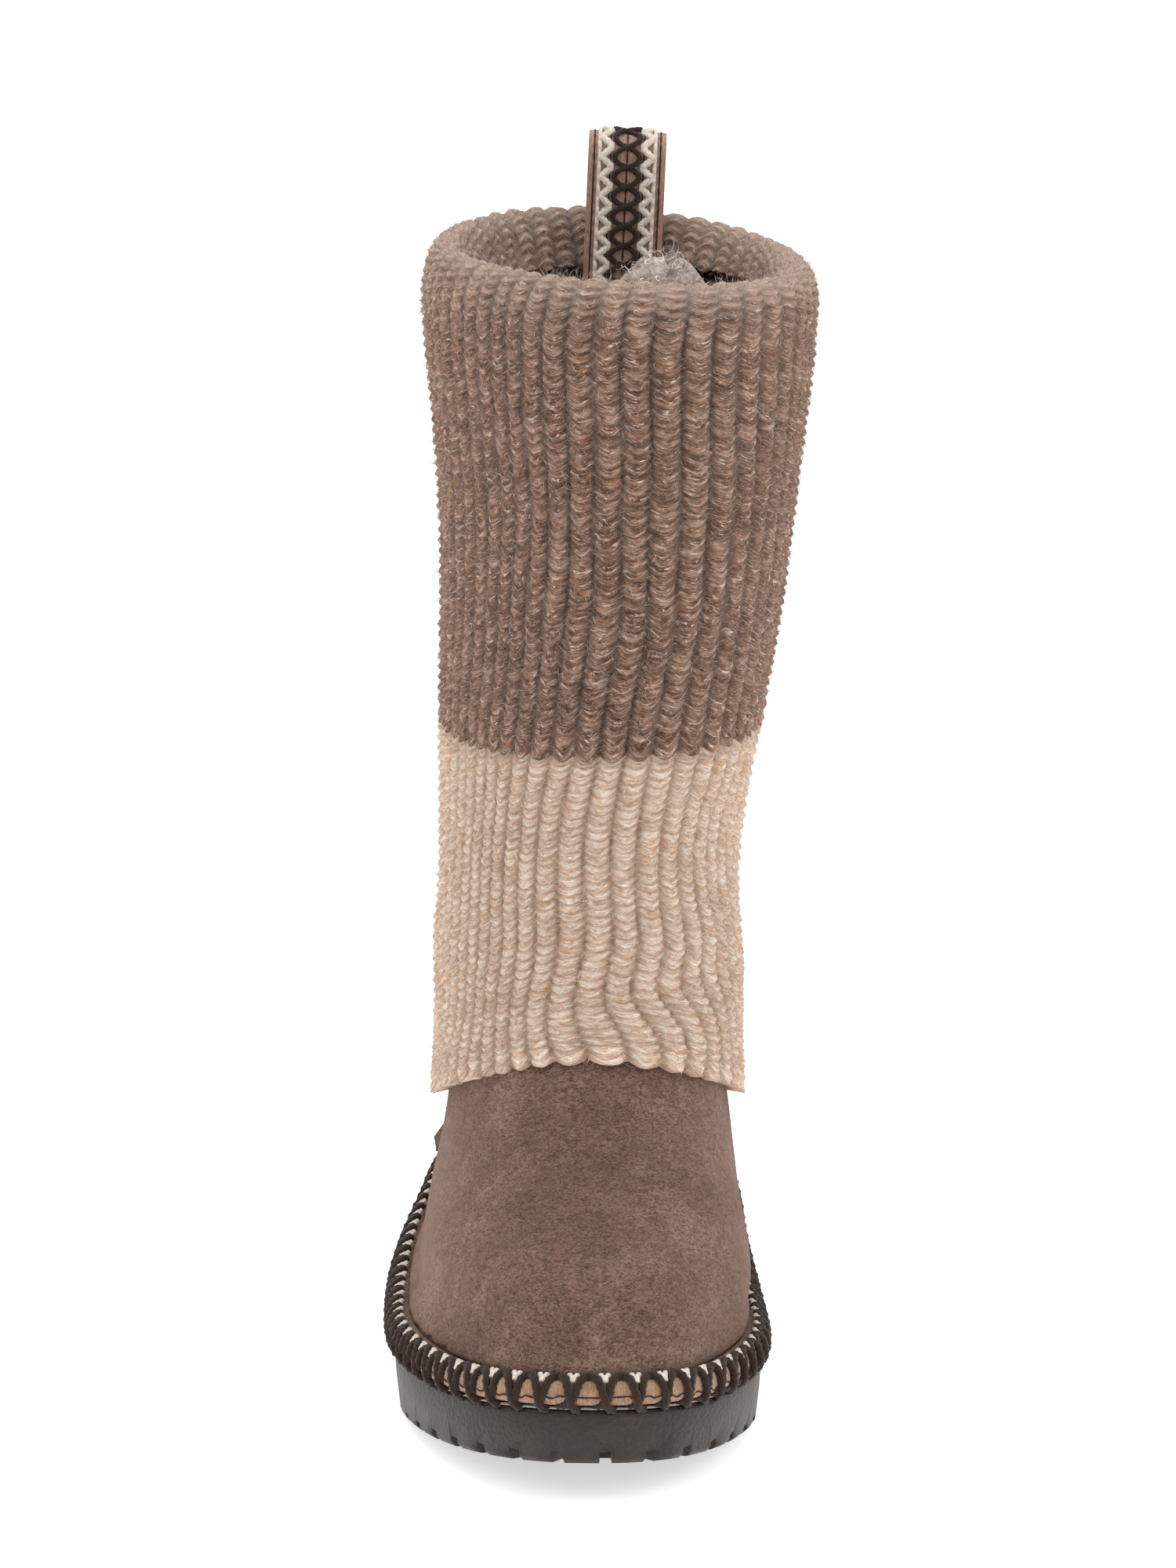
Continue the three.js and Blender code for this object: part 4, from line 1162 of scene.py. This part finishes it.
def strap_line(offset):
    """Up the front of the loop, over its top and down its back, at one place across."""
    level = loop_high.z - ARC_BELOW_TOP
    core = (strap_hit(offset, level) + strap_hit(offset, level, False)) / 2
    rise = np.linspace(loop_low.z + FRONT_START, core.z, FRONT_POINTS)
    fall = np.linspace(core.z, loop_low.z + BACK_END, BACK_POINTS)
    line = [strap_hit(offset, height) for height in rise]
    for degrees in TOP_DEGREES:
        angle = math.radians(degrees)
        way = Vector((STRAP_LEAN * math.sin(angle), -math.cos(angle), math.sin(angle)))
        line.append(loop_tree.ray_cast(core + way * TOP_REACH, -way, TOP_REACH)[0])
    line += [strap_hit(offset, height, False) for height in fall]
    return [p for p in line if p]


strap_columns = [strap_line(STRAP_HALF * (2 * k / (STRAP_STEPS - 1) - 1)) for k in range(STRAP_STEPS)]
strap_face = Face(np.stack([evenly(line, STRAP_ROWS) for line in strap_columns]), closed=False)
print("strap", round(strap_face.length * 1000, 1), "mm long over the loop")

# %% Strap and its threads
OVAL_LENGTH = 0.0059
OVAL_HALF = 0.0037
OVAL_STEPS = 14
# Below one, this makes an oval fuller than a sine wave is.
OVAL_FULLNESS = 0.75
# A small shift keeps the swing off zero where the threads cross.
OVAL_SHIFT = 0.01
CHAIN_LIFT = 0.0006
CHAIN_CROSSING = 0.0003
CHAIN_RADIUS = 0.00084
PICOT_STEPS = 12
PICOT_REACH = 0.0060
PICOT_SWING = 0.0012
PICOT_LIFT = 0.0003
PICOT_RADIUS = 0.00112
EDGE_PLACE = 0.0082
EDGE_LIFT = 0.0004
EDGE_RADIUS = 0.0006
FINE_PLACES = (0.0, 0.0050, -0.0050, 0.0098, -0.0098)
FINE_LIFT = 0.00022
FINE_DIP = -0.0001
ROUNDED_EDGE = 0.0004
ovals = round(strap_face.length / OVAL_LENGTH)


def share_across(offset):
    """A distance from the strap's middle line as a share across its face."""
    return 0.5 + offset / (2 * STRAP_HALF)


def chain_thread(sign):
    """One of the two dark threads that swing from side to side."""
    line = []
    steps = ovals * OVAL_STEPS
    for k in range(steps + 1):
        turn = math.pi * k / OVAL_STEPS
        swing = math.sin(turn + OVAL_SHIFT)
        wide = math.copysign(abs(swing) ** OVAL_FULLNESS, swing) * OVAL_HALF * sign
        lift = CHAIN_LIFT + CHAIN_CROSSING * sign * math.cos(turn)
        line.append(strap_face.point(k / steps, share_across(wide), lift))
    return line


def picot_thread(side):
    """The cream thread beside the chain, which dips towards it between two ovals."""
    line = []
    steps = ovals * PICOT_STEPS
    for k in range(steps + 1):
        reach = PICOT_REACH - PICOT_SWING * math.cos(math.tau * k / PICOT_STEPS)
        line.append(strap_face.point(k / steps, share_across(side * reach), PICOT_LIFT))
    return line


def strap_row(offset, lift):
    return stitch_line(strap_face, share_across(offset), lift, FINE_DIP)


strap = hard_copy("pull_loop", "loop_strap")
rounding = strap.modifiers.new("round", "BEVEL")
rounding.width = ROUNDED_EDGE
rounding.segments = 2
settle(strap)
edge_rows = [strap_row(side * EDGE_PLACE, EDGE_LIFT) for side in (1, -1)]
fine_rows = [strap_row(offset, FINE_LIFT) for offset in FINE_PLACES]
chain = threads("loop_chain", [chain_thread(1), chain_thread(-1)], CHAIN_RADIUS, ply=0.1)
picots = threads("loop_picots", [picot_thread(1), picot_thread(-1)], PICOT_RADIUS, ply=0.12)
edges = threads("loop_cream_edge", edge_rows, EDGE_RADIUS)
rows = threads("loop_stitches", fine_rows, FINE_RADIUS)
STRAP_STOPS = [(0.3, (122, 94, 80)), (0.7, (166, 136, 120))]
STRAP_SURFACE = {"stretch": (1, 1, 0.4), "roughness": 0.88, "sheen": 0.3, "specular": 0.2}
strap_cloth = one_noise("strap_cloth", (1400, 3, 0.7), STRAP_STOPS, (0.0004, 0.6), **STRAP_SURFACE)
strap_cloth.on(strap)
dark_thread.on(chain, rows)
cream_thread.on(picots, edges)
print("ovals", ovals)

# %% [markdown]
# ## Fleece inside
# The boot is lined with a curly, grey-white fleece, which shows behind the loop and from above. The lining
# is a tube between the suede's inner wall and the foot, lumpy on the inside, with curled strips for the
# pile. It ends a little below the rim, and rises in one tuft at the back, beside the loop. The footbed is
# the same fleece over foam, so it's a soft pad whose lumps are in its form and its finish.

# %% Lining
upper_tree = tree_of("upper")
LINING_LOW = 0.0400
LINING_TOP = 0.3115
LINING_EDGE = 0.3015
LINING_FADE = 0.290
TUFT_PLACE = 0.950
TUFT_WIDTH = 0.048
COLLAR_EDGE = 0.3045
LINING_GAP = 0.0004
LINING_THICK = 0.0042
LINING_COLUMNS = 200
# Rows of the lining: evenly spaced up to one height, and closer from there to the top.
COARSE_ROWS = np.linspace(LINING_LOW, 0.2400, 60)
CLOSE_ROWS = np.linspace(0.2415, LINING_TOP, 48)
BIG_LUMPS = (0.0020, 190)
SMALL_LUMPS = (0.0014, 430)
TAPER_HEIGHT = 0.004
TAPER_LEAST = 0.25
CURLS_FROM = 0.262
CURL_COUNT = 5200


def inner_wall(outward, height):
    """Where the suede's inner wall lies at a height, or the loop's sewn end if that is nearer."""
    axis = shaft_axis(height)
    hit = upper_tree.ray_cast(axis, outward, FAR)[0]
    sewn = loop_tree.ray_cast(axis, outward, FAR)[0]
    if sewn and (not hit or (sewn - axis).length < (hit - axis).length):
        return sewn
    return hit


lining_shares = np.arange(LINING_COLUMNS) / LINING_COLUMNS


def lining_ring(height):
    level = min(height, COLLAR_EDGE)
    points = [inner_wall(outward, level) for outward in outwards]
    known = [p for p in points if p]
    ring = evenly(known, LINING_COLUMNS, closed=True)
    tufts = np.exp(-(((lining_shares - TUFT_PLACE) / TUFT_WIDTH) ** 4))
    tops = LINING_EDGE + (LINING_TOP - LINING_EDGE) * tufts
    above = max(height - LINING_FADE, 0) / (LINING_TOP - LINING_FADE)
    ring[:, 2] = min(height, LINING_FADE) + above * (tops - LINING_FADE)
    return ring


lining_heights = np.concatenate([COARSE_ROWS, CLOSE_ROWS])
lining_wall = np.stack([lining_ring(h) for h in lining_heights])
lining_normals = grid_normals(lining_wall)
lumps = soft_noise(lining_wall, *BIG_LUMPS, 21) + soft_noise(lining_wall, *SMALL_LUMPS, 23)
taper = np.clip((LINING_TOP - lining_heights) / TAPER_HEIGHT, TAPER_LEAST, 1)[:, None]
inside = lining_wall - lining_normals * ((LINING_THICK + lumps) * taper)[:, :, None]
lining_tube = np.vstack([inside, (lining_wall - lining_normals * LINING_GAP)[::-1][::2]])
lining = rolled_sheet("fleece_lining", lining_tube[:, ::-1], np.ones((len(inside), LINING_COLUMNS)))
top_inside = inside[lining_heights > CURLS_FROM]
# Length, width, how far they tip over, how much they bend, and the faces in each.
CURLS = (0.0056, 0.00060, 0.8, 0.7, 7)
roots = scatter(top_inside, -grid_normals(top_inside), CURL_COUNT, 31)
curls = pile("fleece_curls", *roots, *CURLS, 32, coil=0.0012)

# %% Footbed
BED_LUMPS = 0.0014
BED_PACE = 230
BED_SINK = 0.0004
BED_TOP_SLOPE = 0.5

footbed = smooth_copy("footbed", 2, "fleece_footbed")
upper_side = [vert for vert in footbed.data.vertices if vert.normal.z > BED_TOP_SLOPE]
for vert in upper_side:
    vert.co.z += BED_LUMPS * noise.noise(vert.co * BED_PACE) - BED_SINK
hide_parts("footbed")
FLEECE_STOPS = [(0.3, (176, 160, 150)), (0.5, (212, 198, 189)), (0.7, (236, 228, 221))]
FLEECE_SURFACE = {"roughness": 0.95, "sheen": 0.4, "specular": 0.1}
CURL_TONES = [(0.0, (176, 160, 151)), (0.5, (210, 197, 188)), (1.0, (240, 232, 226))]
fleece = one_noise("curly_fleece", (260, 4, 0.65, 1.5), FLEECE_STOPS, (0.002, 0.8), **FLEECE_SURFACE)
fleece.on(lining, footbed)
fibre_finish("fleece_curl", CURL_TONES).on(curls)
print("lining", len(lining.data.polygons) * 2, "triangles")

# %% [markdown]
# ## The side flap
# A small folded piece of woven tape stands out of the seam on the outer side, taupe outside and black
# inside. It stays bare. The model's plate is already curled, so its copy is only opened a little more
# towards its lower edge. From the front the black still doesn't show, as it does on the real flap.

# %% Flap
FLAP_OPEN = 0.0026
# Faces that look inwards or down more than this are the black inside.
INWARD = 0.2
DOWNWARD = -0.5

flap = hard_copy("side_label", "side_flap")
flap_low, flap_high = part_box("side_label")
for vert in flap.data.vertices:
    down = (flap_high.z - vert.co.z) / (flap_high.z - flap_low.z)
    vert.co.x -= FLAP_OPEN * down**1.5
TAPE_NOISE = (1600, 2, 0.6)
TAPE_STRETCH = (1, 1, 3)
TAUPE_STOPS = [(0.3, (66, 50, 41)), (0.7, (100, 79, 67))]
BLACK_STOPS = [(0.3, (18, 15, 14)), (0.7, (40, 35, 33))]
tape = one_noise(
    "woven_tape", TAPE_NOISE, TAUPE_STOPS, (0.0002, 0.5), stretch=TAPE_STRETCH, roughness=0.85, specular=0.1
)
black_tape = one_noise(
    "tape_inside", TAPE_NOISE, BLACK_STOPS, stretch=TAPE_STRETCH, roughness=0.9, specular=0.05
)
tape.on(flap)
flap.data.materials.append(black_tape.material)
for polygon in flap.data.polygons:
    inside_face = polygon.normal.x > INWARD or polygon.normal.z < DOWNWARD
    polygon.material_index = 1 if inside_face else 0
print("flap opened by", FLAP_OPEN, "m at its lower edge")

# %% Sizes, and the end
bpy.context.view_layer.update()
for thing in bpy.context.scene.objects:
    if thing.type == "MESH":
        print(thing.name, sum(len(face.vertices) - 2 for face in thing.data.polygons), "triangles")
